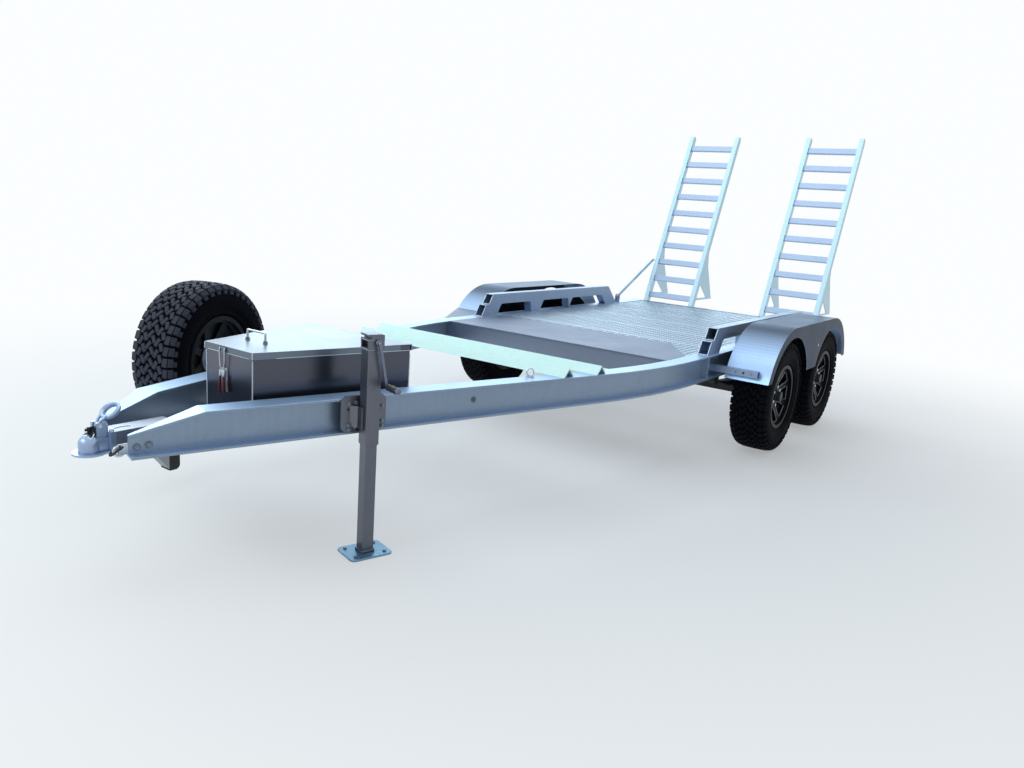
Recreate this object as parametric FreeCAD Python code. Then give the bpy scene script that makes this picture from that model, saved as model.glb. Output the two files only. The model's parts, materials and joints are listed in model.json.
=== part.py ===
import FreeCAD, Part
import math
import os

# Tandem-axle plant trailer in welded aluminium: two drawn-in main beams form the drawbar, with a
# toolbox and a wind-down jack between coupling and deck, and two ramps stand hinged at the rear.
# Units are millimetres. +X points forward to the coupling, +Y to the trailer's left, +Z up.
# While it is built, X = 0 is the rear face of the deck; the finished pieces are then moved so that
# the origin lies on the ground below the middle of the whole trailer.

V = FreeCAD.Vector
LEFT, RIGHT = 1, -1

# Main beams
deck_height = 652
beam_depth = 150
flange_width = 100
flange_thick = 10
web_thick = 8
bend_radius = 3070
bend_rear_x = 2800
nose_x = 5800
nose_half_width = 157.14
slope_length = 250
nose_depth = 78
stiffener_x = 2590
stiffener_thick = 8

# Deck
deck_length = 2985
plate_thick = 6
front_plate_length = 635
plate_corner = 280
plate_corner_length = 385
cross_height = 75
cross_width = 50
cross_wall = 4
cross_pitch = 470
channel_height = 110
channel_flange = 55
tail_height = 120
tail_depth = 60
mesh_across = 12
mesh_pitch = 140
mesh_open = 0.75
mesh_margin = 10
wing_front_x = 2924

# Side rails
rail_width = 65
rail_height = 75
rail_wall = 4
rail_gap = 84
rail_front_x = 2600
rail_front_lean = 30
rail_step = 35
rail_rear_x = 552
rail_rear_run = 170
rail_corner_radius = 40
rail_opening_radius = 28
rail_openings = [(1955, 1975, 2415, 2365), (1390, 1410, 1840, 1790), (757, 836, 1390, 1340)]

# Bucket rest angles across the drawbar
angle_leg = 62
angle_thick = 6
angle_front_x = 3900
angle_rear_x = 3690
angle_overhang = 10
lashing_ahead = 161

# Wheels and axles
tyre_radius = 368
tyre_width = 235
rim_radius = 206
rim_width = 190
rim_wall = 7
rim_lip_rise = 4
rim_seat_drop = 11
rim_well_drop = 34
tyre_fit = 0.3
track_outer = 2460
wheel_clearance = 73
front_axle_x = 2010
axle_spacing = 940
axle_square = 50
stub_radius = 20
stub_clearance = 0.05
drum_radius = 133
drum_width = 70
hub_radius = 52
cap_radius = 32
spoke_count = 8

# Suspension
spring_width = 60
leaf_thick = 8
leaf_count = 5
spring_reach = 400
spring_camber = 45
eye_radius = 18
hanger_thick = 8

# Mudguards
guard_reach = 45
guard_proud = 20
guard_thick = 4
guard_radius = 461
arch_radius = 396
guard_end_angle = 18
arm_rise = 42
arm_size = 40
arm_wall = 3
arm_length = 262
arm_hole_pitch = 50
arm_hole_radius = 4
arm_cable_hole_radius = 7

# Ramps
ramp_length = 1790
ramp_inset = 87
ramp_width = 510
ramp_lean = 22.3
stile_depth = 60
stile_width = 40
rung_height = 50
rung_depth = 30
rung_count = 10
rung_first = 95
rung_pitch = 174
hinge_drop = 30
hinge_gap = 6
pin_radius = 10
pin_clearance = 0.05
pin_slack = 0.3
knuckle_radius = 18
lug_thick = 10
leg_thick = 8
leg_reach = 418
leg_foot = 256
leg_top = 663
leg_crotch = 286
tie_foot = 98
tie_depth = 25

# Ramp stay
stay_pivot_x = 470
stay_pivot_rise = 53
stay_tip_rise = 418
stay_depth = 30
stay_thick = 8
stay_pin = 8

# Toolbox
toolbox_front_x = 5320
toolbox_length = 680
toolbox_front_gap = 48.7
toolbox_rear_gap = 64.7
toolbox_top = 827
toolbox_bottom = 520
toolbox_wall = 3
lid_lip = 28
lid_overhang = 6
lid_gap = 2
lid_relief = 50
lid_handle_x = 5160
lid_handle_y = -42
lid_handle_half = 58
lid_handle_rise = 42
lid_handle_rod = 5
lid_pin = 2
hinge_count = 9
latch_y = -28
keeper_thick = 5
hook_radius = 3.5
hook_gap = 0.3

# Jack
jack_along = 1352
jack_offset = 55
jack_square = 60
jack_wall = 4
jack_slack = 0.3
jack_engagement = 100
jack_bottom = 470
jack_top = 860
mount_thick = 10
mount_front = 102
mount_rear = -99
mount_rise = 12
mount_drop = 10
mount_corner = 20
gear_height = 60
gear_overhang = 9
crank_x = -8
crank_drop = 178
crank_rod = 6
grip_radius = 15
grip_length = 105
foot_length = 190
foot_width = 150
foot_thick = 8
foot_corner = 22

# Coupling
coupling_x = 5880
socket_radius = 25.5
socket_wall = 9
coupling_base = 506
mount_width = 84

# Spare wheel
spare_x = 4914
spare_y = -784
spare_z = 616


def box(x0, x1, y0, y1, z0, z1):
    return Part.makeBox(x1 - x0, y1 - y0, z1 - z0, V(x0, y0, z0))


def rod(start, direction, radius, length):
    return Part.makeCylinder(radius, length, V(*start), V(*direction))


def prism(points, push):
    corners = [V(*p) for p in points]
    return Part.Face(Part.makePolygon(corners + corners[:1])).extrude(V(*push))


def side_prism(profile, y0, y1):
    """A profile of (x, z) points, pushed from y0 to y1."""
    return prism([(x, y0, z) for x, z in profile], (0, y1 - y0, 0))


def plan_prism(profile, z0, z1):
    """A profile of (x, y) points, pushed from z0 to z1."""
    return prism([(x, y, z0) for x, y in profile], (0, 0, z1 - z0))


def spun(profile, centre_x, centre_z):
    """A profile of (y, radius) points, turned about an axis along Y."""
    corners = [V(0, y, r) for y, r in profile]
    face = Part.Face(Part.makePolygon(corners + corners[:1]))
    solid = face.revolve(V(0, 0, 0), V(0, 1, 0), 360)
    solid.translate(V(centre_x, 0, centre_z))
    return solid


def joined(shapes):
    return shapes[0].multiFuse(shapes[1:]).removeSplitter()


def mirrored(shape, side):
    if side == LEFT:
        return shape
    return shape.mirror(V(0, 0, 0), V(0, 1, 0))


def turned(shape, point, axis, angle):
    copy = shape.copy()
    copy.rotate(V(*point), V(*axis), angle)
    return copy


def moved(shape, x, y, z):
    copy = shape.copy()
    copy.translate(V(x, y, z))
    return copy


def edges_at(shape, x, z):
    """The edges across the trailer that pass through this x and z."""
    return [e for e in shape.Edges
            if abs(e.CenterOfMass.x - x) < 0.1 and abs(e.CenterOfMass.z - z) < 0.1]


# Lines that many pieces share
frame_width = track_outer - 2 * (tyre_width + wheel_clearance)
half_frame = frame_width / 2
nose_reach = nose_x - bend_rear_x
nose_drop = nose_half_width - half_frame + bend_radius
bend = math.atan2(nose_reach, nose_drop) - math.acos(bend_radius / math.hypot(nose_reach, nose_drop))
drawbar_angle = math.degrees(bend)
ramp_outer = frame_width - 2 * ramp_inset
guard_width = tyre_width + guard_reach
guard_outer = track_outer + 2 * guard_proud
beam_bottom = deck_height - beam_depth
beam_mid = flange_width / 2
web_half = web_thick / 2
inner_flange_y = half_frame - flange_width
web_inner_y = half_frame - beam_mid - web_half
rear_axle_x = front_axle_x - axle_spacing
axle_z = tyre_radius
wheel_outer_y = track_outer / 2
wheel_mid_y = wheel_outer_y - tyre_width / 2
guard_outer_y = guard_outer / 2
guard_inner_y = guard_outer_y - guard_width
guard_top = axle_z + guard_radius
rail_y0 = half_frame - beam_mid - rail_width / 2
rail_y1 = rail_y0 + rail_width
hinge_x = -(stile_depth / 2 + hinge_gap)
hinge_z = deck_height - hinge_drop
lean = math.radians(ramp_lean)


def edge_point(inset, along, z):
    """A point on the left beam, inset from its outer edge, so far ahead of the bend."""
    radius = bend_radius - inset
    x = bend_rear_x + radius * math.sin(bend) + along * math.cos(bend)
    y = half_frame - bend_radius + radius * math.cos(bend) - along * math.sin(bend)
    return V(x, y, z)


def along_at(inset, x):
    """How far ahead of the bend the line at this inset reaches the given x."""
    start = edge_point(inset, 0, 0)
    return (x - start.x) / math.cos(bend)


def bent_y(inset, x):
    """Where the line at this inset lies across the trailer, within the bend."""
    return half_frame - bend_radius + math.sqrt((bend_radius - inset) ** 2 - (x - bend_rear_x) ** 2)


def beam_strip(inset0, inset1, z0, z1, along):
    """A strip of the left beam in plan, from the rear to so far ahead of the bend."""
    rear = tail_depth
    outline = []
    for inset in (inset0, inset1):
        radius = bend_radius - inset
        centre_y = half_frame - bend_radius
        start = V(bend_rear_x, centre_y + radius, z0)
        middle = V(bend_rear_x + radius * math.sin(bend / 2), centre_y + radius * math.cos(bend / 2), z0)
        end = edge_point(inset, 0, z0)
        tip = edge_point(inset, along, z0)
        back = V(rear, centre_y + radius, z0)
        outline.append([back, start, middle, end, tip])
    a, b = outline
    edges = [Part.makeLine(a[0], a[1]), Part.Arc(a[1], a[2], a[3]).toShape(), Part.makeLine(a[3], a[4]),
             Part.makeLine(a[4], b[4]), Part.makeLine(b[4], b[3]), Part.Arc(b[3], b[2], b[1]).toShape(),
             Part.makeLine(b[1], b[0]), Part.makeLine(b[0], a[0])]
    return Part.Face(Part.Wire(edges)).extrude(V(0, 0, z1 - z0))


# Main beams: I sections drawn in to the nose, where web and top flange slope down to the coupling
nose_along = along_at(beam_mid, nose_x)
slope_along = nose_along - slope_length
nose_top = beam_bottom + nose_depth


def slope_z(along):
    return deck_height + (nose_top - deck_height) * (along - slope_along) / slope_length


def main_beam():
    foot = beam_strip(0, flange_width, beam_bottom, beam_bottom + flange_thick, nose_along)
    top = beam_strip(0, flange_width, deck_height - flange_thick, deck_height, slope_along)
    web = beam_strip(beam_mid - web_half, beam_mid + web_half, beam_bottom, deck_height, nose_along)
    wedge = prism([edge_point(0, slope_along, slope_z(slope_along)),
                   edge_point(0, nose_along, slope_z(nose_along)),
                   edge_point(0, nose_along, deck_height + 1),
                   edge_point(0, slope_along, deck_height + 1)],
                  edge_point(flange_width, 0, 0) - edge_point(0, 0, 0))
    cap = prism([edge_point(0, slope_along, slope_z(slope_along)),
                 edge_point(beam_mid - web_thick, nose_along, slope_z(nose_along)),
                 edge_point(beam_mid + web_thick, nose_along, slope_z(nose_along)),
                 edge_point(flange_width, slope_along, slope_z(slope_along))], (0, 0, -flange_thick))
    stiffener = box(stiffener_x, stiffener_x + stiffener_thick, half_frame - beam_mid, half_frame - 4,
                    beam_bottom + flange_thick, deck_height - flange_thick)
    return joined([foot, top, web.cut(wedge), cap, stiffener])


# Coupling mount: a box section between the two noses, and the skid under it
nose_web_y = edge_point(beam_mid + web_half, nose_along, 0).y
mount_rear_x = nose_x - 330
mount_top = coupling_base + nose_depth - 4
mount_floor = beam_bottom + flange_thick
mount_front_x = nose_x + 6


def mount_half_width(x):
    return edge_point(beam_mid + web_half, along_at(beam_mid + web_half, x), 0).y


def coupling_mount():
    rear, front = mount_rear_x, nose_x
    plan = [(rear, mount_half_width(rear)), (front, mount_half_width(front)),
            (front, -mount_half_width(front)), (rear, -mount_half_width(rear))]
    floor = plan_prism(plan, mount_floor, mount_floor + plate_thick)
    tail = box(rear + 110, mount_front_x, -mount_width / 2, mount_width / 2,
               mount_floor + plate_thick, mount_top)
    return joined([floor, tail])


skid_drop = 118
skid_front_x = 5700
skid_rear_x = 5600
skid_width = 60


def skid_plate():
    """Folded plate under the nose: it takes the knocks when the nose is set down."""
    profile = [(skid_front_x, mount_floor), (skid_rear_x, beam_bottom - skid_drop + 8),
               (skid_rear_x, mount_floor)]
    return side_prism(profile, -skid_width / 2, skid_width / 2)


def skid_block():
    """Rubber block behind the skid plate, with its lower rear corner rounded."""
    depth = 44
    block = box(skid_rear_x - depth, skid_rear_x, -skid_width / 2, skid_width / 2,
                beam_bottom - skid_drop, mount_floor)
    return block.makeFillet(20, edges_at(block, skid_rear_x - depth, beam_bottom - skid_drop))


# Tow coupling: cast ball housing with a flared lip, a neck and a tail that sits on the mount
head_radius = socket_radius + socket_wall
head_z = coupling_base + head_radius
lever_pivot = (coupling_x - 30, 0, head_z + 62)
lever_pin_radius = 6
ring_radius = 28
ring_rod = 9
lip_radius = 55
lip_thick = 7
neck_radius = 19
neck_lean = 6
socket_depth = 46


def tow_coupling():
    head = Part.makeSphere(head_radius, V(coupling_x, 0, head_z))
    skirt = rod((coupling_x, 0, coupling_base), (0, 0, 1), head_radius, head_radius)
    lip = rod((coupling_x, 0, coupling_base), (0, 0, 1), lip_radius, lip_thick)
    neck_x = mount_front_x + neck_radius
    foot = plan_prism([(neck_x, mount_width / 2), (coupling_x, lip_radius - 4), (coupling_x, 4 - lip_radius),
                       (neck_x, -mount_width / 2)], coupling_base, coupling_base + lip_thick)
    neck = box(neck_x, coupling_x, -27, 27, coupling_base, head_z + 20)
    tower = turned(rod((neck_x, 0, coupling_base + lip_thick), (0, 0, 1), neck_radius,
                       lever_pivot[2] - coupling_base - lip_thick), (neck_x, 0, coupling_base + lip_thick),
                   (0, 1, 0), neck_lean)
    ears = box(lever_pivot[0] - 24, lever_pivot[0] + 12, -20, 20, head_z + 10, lever_pivot[2] + 12)
    tail = box(mount_front_x, neck_x, -mount_width / 2, mount_width / 2, coupling_base, mount_top)
    body = joined([head, skirt, lip, foot, neck, tower, ears, tail])
    slot = box(lever_pivot[0] - 60, lever_pivot[0] + 20, -7, 7, head_z + 40, lever_pivot[2] + 60)
    bore = rod((coupling_x, 0, coupling_base - 1), (0, 0, 1), socket_radius, socket_depth - socket_radius + 1)
    dome = Part.makeSphere(socket_radius, V(coupling_x, 0, coupling_base + socket_depth - socket_radius))
    pin_bore = rod((lever_pivot[0], -30, lever_pivot[2]), (0, 1, 0), lever_pin_radius + pin_clearance, 60)
    return body.cut(Part.makeCompound([slot, bore, dome, pin_bore]))


def coupling_lever():
    """Ring handle on its cross pin: lifting it frees the ball."""
    x, _, z = lever_pivot
    ring_x, ring_z = x - 50, z + 44
    ring = Part.makeTorus(ring_radius, ring_rod, V(ring_x, 0, ring_z), V(0.55, 0, 0.83))
    arm = prism([(x - 6, -5, z - 9), (x + 9, -5, z - 4), (x + 6, -5, z + 9),
                 (ring_x + 30, -5, ring_z - 12), (ring_x + 20, -5, ring_z - 24)], (0, 10, 0))
    pin = rod((x, -26, z), (0, 1, 0), lever_pin_radius, 52)
    return joined([ring, arm, pin])


shackle_x = 5745
shackle_y = 128
shackle_z = 535


def safety_shackles():
    """A bow shackle through a lug on each nose, for the safety chains."""
    bows = []
    x = edge_point(beam_mid - web_half, nose_along, 0).x
    for side in (LEFT, RIGHT):
        bow = Part.makeTorus(17, 5, V(shackle_x + 84, shackle_y - 28, shackle_z - 8), V(0.3, 1, 0))
        lug = box(x, nose_x + 34, nose_web_y, nose_web_y + web_thick, beam_bottom + 12, beam_bottom + 50)
        bows.append(mirrored(joined([lug, bow]), side))
    return bows


# Toolbox: a tapered aluminium box between the beams, with a folded lid hinged along the rear
toolbox_rear_x = toolbox_front_x - toolbox_length
toolbox_front_width, toolbox_rear_width = [
    2 * (edge_point(flange_width, along_at(flange_width, x), 0).y - gap)
    for x, gap in ((toolbox_front_x, toolbox_front_gap), (toolbox_rear_x, toolbox_rear_gap))]
lid_bottom = toolbox_top - lid_lip


def toolbox_plan(grow):
    front, rear = toolbox_front_x + grow, toolbox_rear_x - grow
    return [(front, toolbox_front_width / 2 + grow), (rear, toolbox_rear_width / 2 + grow),
            (rear, -toolbox_rear_width / 2 - grow), (front, -toolbox_front_width / 2 - grow)]


lid_knuckle = 5
lid_hinge_x = toolbox_rear_x - lid_knuckle
lid_hinge_z = lid_bottom - lid_knuckle - 0.5


def hinge_knuckles(which):
    """Every second knuckle of the long lid hinge belongs to the box, the others to the lid."""
    span = toolbox_rear_width - 60
    step = span / hinge_count
    shapes = []
    for i in range(hinge_count):
        if i % 2 == which:
            y = -span / 2 + i * step + 0.5
            barrel = rod((lid_hinge_x, y, lid_hinge_z), (0, 1, 0), lid_knuckle, step - 1)
            if which:
                leaf_box = box(toolbox_rear_x - lid_overhang, toolbox_rear_x - lid_overhang + toolbox_wall,
                               y, y + step - 1, lid_hinge_z, lid_bottom + 2)
            else:
                leaf_box = box(toolbox_rear_x - 3, toolbox_rear_x + 1, y, y + step - 1,
                               lid_hinge_z - 22, lid_hinge_z)
            shapes += [barrel, leaf_box]
    return shapes


def toolbox():
    rim = toolbox_top - toolbox_wall - lid_gap
    outer = plan_prism(toolbox_plan(0), toolbox_bottom, rim)
    inner = plan_prism(toolbox_plan(-toolbox_wall), toolbox_bottom + toolbox_wall, rim)
    pin_bore = rod((lid_hinge_x, -toolbox_rear_width, lid_hinge_z), (0, 1, 0), lid_pin + pin_clearance,
                   2 * toolbox_rear_width)
    return joined([outer.cut(inner)] + hinge_knuckles(0)).cut(pin_bore)


def toolbox_lid():
    outer = plan_prism(toolbox_plan(lid_overhang), lid_bottom, toolbox_top)
    inner = plan_prism(toolbox_plan(lid_overhang - toolbox_wall), lid_bottom, toolbox_top - toolbox_wall)
    half = toolbox_rear_width / 2 - 28
    pin = rod((lid_hinge_x, -half, lid_hinge_z), (0, 1, 0), lid_pin, 2 * half)
    keeper = box(toolbox_front_x + lid_overhang, toolbox_front_x + lid_overhang + keeper_thick,
                 latch_y - 20, latch_y + 20, lid_bottom + 3, toolbox_top - 4)
    relief = box(toolbox_rear_x - lid_overhang + toolbox_wall, toolbox_rear_x + lid_relief,
                 -toolbox_rear_width, toolbox_rear_width, lid_bottom - 1, toolbox_top - toolbox_wall)
    shell = outer.cut(Part.makeCompound([inner, relief]))
    return joined([shell, pin, keeper] + hinge_knuckles(1))


def lid_handle():
    """Bent rod handle on two posts, across the front of the lid."""
    r = lid_handle_rod
    top = toolbox_top + lid_handle_rise
    y0, y1 = lid_handle_y - lid_handle_half, lid_handle_y + lid_handle_half
    shapes = [rod((lid_handle_x, y0, top), (0, 1, 0), r, y1 - y0)]
    for y in (y0, y1):
        shapes.append(rod((lid_handle_x, y, toolbox_top), (0, 0, 1), r, lid_handle_rise))
        shapes.append(rod((lid_handle_x, y, toolbox_top), (0, 0, 1), 2 * r, r))
        shapes.append(Part.makeSphere(r, V(lid_handle_x, y, top)))
    return joined(shapes)


def toolbox_latch():
    """Toggle clamp on the front face: base, hook rod and two handle arms."""
    x = toolbox_front_x
    z = lid_bottom - 90
    hook_x = x + lid_overhang + keeper_thick + hook_gap + hook_radius
    base = box(x, x + 16, latch_y - 20, latch_y + 20, z - 70, z)
    shapes = [base]
    for y in (latch_y - 13, latch_y + 13):
        shapes.append(box(x + 16, x + 26, y - 5, y + 5, z - 120, z - 10))
        shapes.append(rod((hook_x, y, z - 20), (0, 0, 1), hook_radius, 125))
        shapes.append(Part.makeSphere(hook_radius, V(hook_x, y, z + 105)))
    shapes.append(rod((hook_x, latch_y - 13, z + 105), (0, 1, 0), hook_radius, 26))
    return joined(shapes)


support_half = 25


def toolbox_supports():
    bars = []
    for x in (toolbox_front_x - 90, toolbox_rear_x + 90):
        half = mount_half_width(x)
        bars.append(box(x - support_half, x + support_half, -half + 8, half - 8,
                        beam_bottom + flange_thick, toolbox_bottom))
    return bars


# Jack: a square tube wound up and down beside the left beam, in line with that beam
jack_point = edge_point(-jack_offset, jack_along, 0)
jack_x = jack_point.x
jack_y = jack_point.y


def at_jack(shape):
    """Pieces of the jack are drawn about the Z axis with the beam along X, then set in place."""
    return moved(turned(shape, (0, 0, 0), (0, 0, 1), -drawbar_angle), jack_x, jack_y, 0)


half_jack = jack_square / 2
half_leg = half_jack - jack_wall - jack_slack
crank_z = jack_top + gear_height / 2


def square_tube(half, wall, z0, z1):
    outer = box(-half, half, -half, half, z0, z1)
    return outer.cut(box(-half + wall, half - wall, -half + wall, half - wall, z0, z1))


def jack_tube():
    return at_jack(square_tube(half_jack, jack_wall, jack_bottom, jack_top))


def jack_mount():
    """Back plate on the beam's flange edges, and a folded bracket that grips the tube."""
    back = -jack_offset
    face = back + mount_thick
    z0, z1 = beam_bottom + mount_drop, deck_height + mount_rise
    c = mount_corner
    plate = side_prism([(mount_rear + c, z0), (mount_front - c, z0), (mount_front, z0 + c), (mount_front, z1 - c),
                        (mount_front - c, z1), (mount_rear + c, z1), (mount_rear, z1 - c), (mount_rear, z0 + c)],
                       back, face)
    shapes = [plate]
    for side in (-1, 1):
        cheek = side * half_jack
        outer = side * (half_jack + mount_thick)
        plan = [(cheek, face), (cheek, 12), (outer, 12), (outer, face + 22), (outer + side * 22, face)]
        shapes.append(plan_prism(plan, z0 + 24, z1 - 40))
    shapes.append(rod((half_jack + mount_thick + 4, face, z1 - 27), (0, 1, 0), 9, 18))
    return at_jack(joined(shapes))


def jack_gearhead():
    """Open-fronted gear case on the tube's head, overhanging to the rear."""
    y1 = half_jack + 3
    x0, x1 = -half_jack - gear_overhang, half_jack + 2
    case = box(x0, x1, -y1, y1, jack_top, jack_top + gear_height)
    pocket = box(x1 - 24, x1 + 1, -y1 + 8, y1 - 8, jack_top + 8, jack_top + gear_height - 22)
    slot = box(x1 - 14, x1 + 1, -y1 - 1, y1 + 1, jack_top + gear_height - 14, jack_top + gear_height - 6)
    bore = rod((crank_x, -y1 - 1, crank_z), (0, 1, 0), crank_rod + 2 + pin_clearance, 2 * y1 + 2)
    return at_jack(case.cut(Part.makeCompound([pocket, slot, bore])))


def jack_crank():
    face = half_jack + 3
    lean_x, drop_z = -0.2, -0.98
    shaft = rod((crank_x, 0, crank_z), (0, 1, 0), crank_rod + 2, face + 29)
    arm = rod((crank_x, face + 20, crank_z), (lean_x, 0, drop_z), crank_rod, crank_drop)
    grip = rod((crank_x + lean_x * crank_drop, face + 8, crank_z + drop_z * crank_drop), (0, 1, 0),
               grip_radius, grip_length)
    return at_jack(joined([shaft, arm, grip]))


def jack_leg():
    return at_jack(square_tube(half_leg, jack_wall, foot_thick, jack_bottom + jack_engagement))


def jack_foot():
    plate = box(-foot_length / 2, foot_length / 2, -foot_width / 2, foot_width / 2, 0, foot_thick)
    uprights = [e for e in plate.Edges if abs(e.CenterOfMass.z - foot_thick / 2) < 0.1]
    return at_jack(plate.makeFillet(foot_corner, uprights))


# Bucket rest angles: angle bars laid across the drawbar with their corner upwards
def bucket_angle(x):
    drop = angle_leg * math.sin(math.radians(45))
    run = angle_leg * math.cos(math.radians(45))
    t = angle_thick * math.sqrt(2)
    half = edge_point(0, along_at(0, x), 0).y if x > edge_point(0, 0, 0).x else half_frame - 70
    half = half + angle_overhang - 20
    profile = [(x - run, deck_height), (x, deck_height + drop), (x + run, deck_height),
               (x + run - t, deck_height), (x, deck_height + drop - t), (x - run + t, deck_height)]
    return side_prism(profile, -half, half)


# Deck: front channel, cross members, tail member, front plate and mesh
def front_channel():
    x1 = deck_length - 20
    x0 = x1 - channel_flange
    z1 = deck_height - flange_thick
    z0 = z1 - channel_height
    half = bent_y(beam_mid + web_half, x1)
    outer = box(x0, x1, -half, half, z0, z1)
    return outer.cut(box(x0 - 1, x1 - 8, -half, half, z0 + 8, z1 - 8))


cross_top = deck_height - flange_thick
cross_start = 300


def cross_members():
    bars = []
    x = cross_start
    while x < deck_length - front_plate_length + cross_pitch:
        outer = box(x, x + cross_width, -web_inner_y, web_inner_y, cross_top - cross_height, cross_top)
        inner = box(x + cross_wall, x + cross_width - cross_wall, -web_inner_y, web_inner_y,
                    cross_top - cross_height + cross_wall, cross_top - cross_wall)
        bars.append(outer.cut(inner))
        x += cross_pitch
    return bars


def tail_member():
    return box(0, tail_depth, -half_frame, half_frame, deck_height - tail_height, deck_height)


plate_rear_x = deck_length - front_plate_length
plate_cut_x = plate_rear_x + plate_corner_length


def deck_front_plate():
    half = inner_flange_y
    front_half = bent_y(flange_width, deck_length)
    plan = [(deck_length, front_half), (bend_rear_x, half), (plate_cut_x, half),
            (plate_rear_x, half - plate_corner), (plate_rear_x, -half), (bend_rear_x, -half),
            (deck_length, -front_half)]
    return plan_prism(plan, cross_top, deck_height)


def right_wing_plate():
    """Three-cornered step plate ahead of the right mudguard, welded to the beam's flange edge."""
    z0 = deck_height - plate_thick
    rear = front_axle_x + math.sqrt(guard_radius ** 2 - (z0 - axle_z) ** 2)
    plan = [(wing_front_x, -half_frame), (rear, -half_frame), (rear, -guard_outer_y)]
    return plan_prism(plan, z0, deck_height)


def mesh_outline(inset, z0, z1):
    """The mesh's five-sided sheet, or what lies inside it at an inset from every edge."""
    half = inner_flange_y - inset
    rear, front = tail_depth + inset, plate_rear_x - inset
    slope = plate_corner_length / plate_corner
    corner_y = inner_flange_y - plate_corner
    return plan_prism([(rear, half), (rear, -half), (front, -half), (front, corner_y + inset / 2),
                       (front + slope * (half - corner_y - inset / 2), half)], z0, z1)


def deck_mesh():
    """Expanded sheet: staggered diamonds on a coarse pitch, with a plain edge that is welded down."""
    pitch_y = 2 * inner_flange_y / mesh_across
    half_x, half_y = mesh_open * mesh_pitch / 2, mesh_open * pitch_y / 2
    diamonds = []
    for row in range(2 * math.ceil((plate_cut_x - tail_depth) / mesh_pitch)):
        x = tail_depth + (row + 1) * mesh_pitch / 2
        for step in range(mesh_across + row % 2):
            y = -inner_flange_y + (step + (1 - row % 2) / 2) * pitch_y
            diamonds.append(plan_prism([(x - half_x, y), (x, y - half_y), (x + half_x, y), (x, y + half_y)],
                                       cross_top - 1, deck_height + 1))
    openings = mesh_outline(mesh_margin, cross_top - 1, deck_height + 1).common(Part.makeCompound(diamonds))
    return mesh_outline(0, cross_top, deck_height).cut(openings)


# Side rails: a tube carried along each beam on cut tube posts, its front end open and slanted
def side_rail(side):
    z0 = deck_height
    z1 = z0 + rail_gap
    z2 = z1 + rail_height
    slant = math.tan(math.radians(rail_front_lean))
    nose = rail_front_x
    post_top = nose - rail_gap * slant
    tube_end = post_top - rail_step
    rear = rail_rear_x + rail_rear_run
    outline = [(nose, z0), (post_top, z1), (tube_end, z1), (tube_end - rail_height * slant, z2),
               (rear, z2), (rail_rear_x, z0)]
    body = side_prism(outline, rail_y0, rail_y1)
    body = body.makeFillet(rail_corner_radius, edges_at(body, rear, z2))
    w = rail_wall
    cuts = [box(rear + rail_corner_radius, nose, rail_y0 + w, rail_y1 - w, z1 + w, z2 - w),
            box(rail_openings[0][2] - w, nose, rail_y0 + w, rail_y1 - w, z0 + w, z1 - w)]
    for rear_foot, rear_head, front_foot, front_head in rail_openings:
        opening = side_prism([(front_foot, z0 - 1), (front_head, z1), (rear_head, z1), (rear_foot, z0 - 1)],
                             rail_y0 - 1, rail_y1 + 1)
        corners = edges_at(opening, front_head, z1) + edges_at(opening, rear_head, z1)
        cuts.append(opening.makeFillet(rail_opening_radius, corners))
    return mirrored(body.cut(Part.makeCompound(cuts)), side)


# Mudguards: a rolled top over both wheels and an outer skirt cut away round each
def guard_outline(radius):
    """Closed side outline: an arc round each axle, a flat top, and a cut across the foot."""
    end = math.radians(guard_end_angle)
    dx, dz = radius * math.cos(end), radius * math.sin(end)
    half = math.radians((90 + guard_end_angle) / 2)
    mx, mz = radius * math.cos(half), radius * math.sin(half)
    y = guard_inner_y
    p0 = V(front_axle_x + dx, y, axle_z + dz)
    p1 = V(front_axle_x, y, axle_z + radius)
    p2 = V(rear_axle_x, y, axle_z + radius)
    p3 = V(rear_axle_x - dx, y, axle_z + dz)
    edges = [Part.Arc(p0, V(front_axle_x + mx, y, axle_z + mz), p1).toShape(), Part.makeLine(p1, p2),
             Part.Arc(p2, V(rear_axle_x - mx, y, axle_z + mz), p3).toShape(), Part.makeLine(p3, p0)]
    return Part.Face(Part.Wire(edges))


def mudguard(side):
    outer = guard_outline(guard_radius).extrude(V(0, guard_width, 0))
    hollow = guard_outline(guard_radius - guard_thick).extrude(V(0, guard_width - guard_thick, 0))
    arches = [rod((x, guard_inner_y, axle_z), (0, 1, 0), arch_radius, guard_width + 1)
              for x in (front_axle_x, rear_axle_x)]
    shell = outer.cut(Part.makeCompound([hollow] + arches))
    return mirrored(shell, side)


def mudguard_arms(side):
    """Square tube arms from the beam's web that carry the mudguard; the front one has lamp holes."""
    z0 = beam_bottom + arm_rise
    front_x = front_axle_x + math.sqrt(guard_radius ** 2 - (z0 - axle_z) ** 2)
    web_outer_y = half_frame - beam_mid + web_half
    arms = []
    for x in (front_x, 2 * (front_axle_x - axle_spacing / 2) - front_x - arm_size):
        outer = box(x, x + arm_size, web_outer_y, half_frame + arm_length, z0, z0 + arm_size)
        w = arm_wall
        inner = box(x + w, x + arm_size - w, web_outer_y, half_frame + arm_length, z0 + w, z0 + arm_size - w)
        arms.append(outer.cut(inner))
    first = half_frame + 124
    for i, radius in enumerate((arm_hole_radius, arm_cable_hole_radius, arm_hole_radius)):
        hole = rod((front_x + arm_size / 2, first + i * arm_hole_pitch, z0 + arm_size / 2), (1, 0, 0),
                   radius, arm_size)
        arms[0] = arms[0].cut(hole)
    return [mirrored(arm, side) for arm in arms]


# Suspension: two leaf springs a side, a rocker between them, and hangers under the beam
spring_y = half_frame - beam_mid
spring_seat_z = axle_z + axle_square / 2
eye_z = spring_seat_z + leaf_count * leaf_thick + spring_camber - leaf_thick / 2


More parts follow.
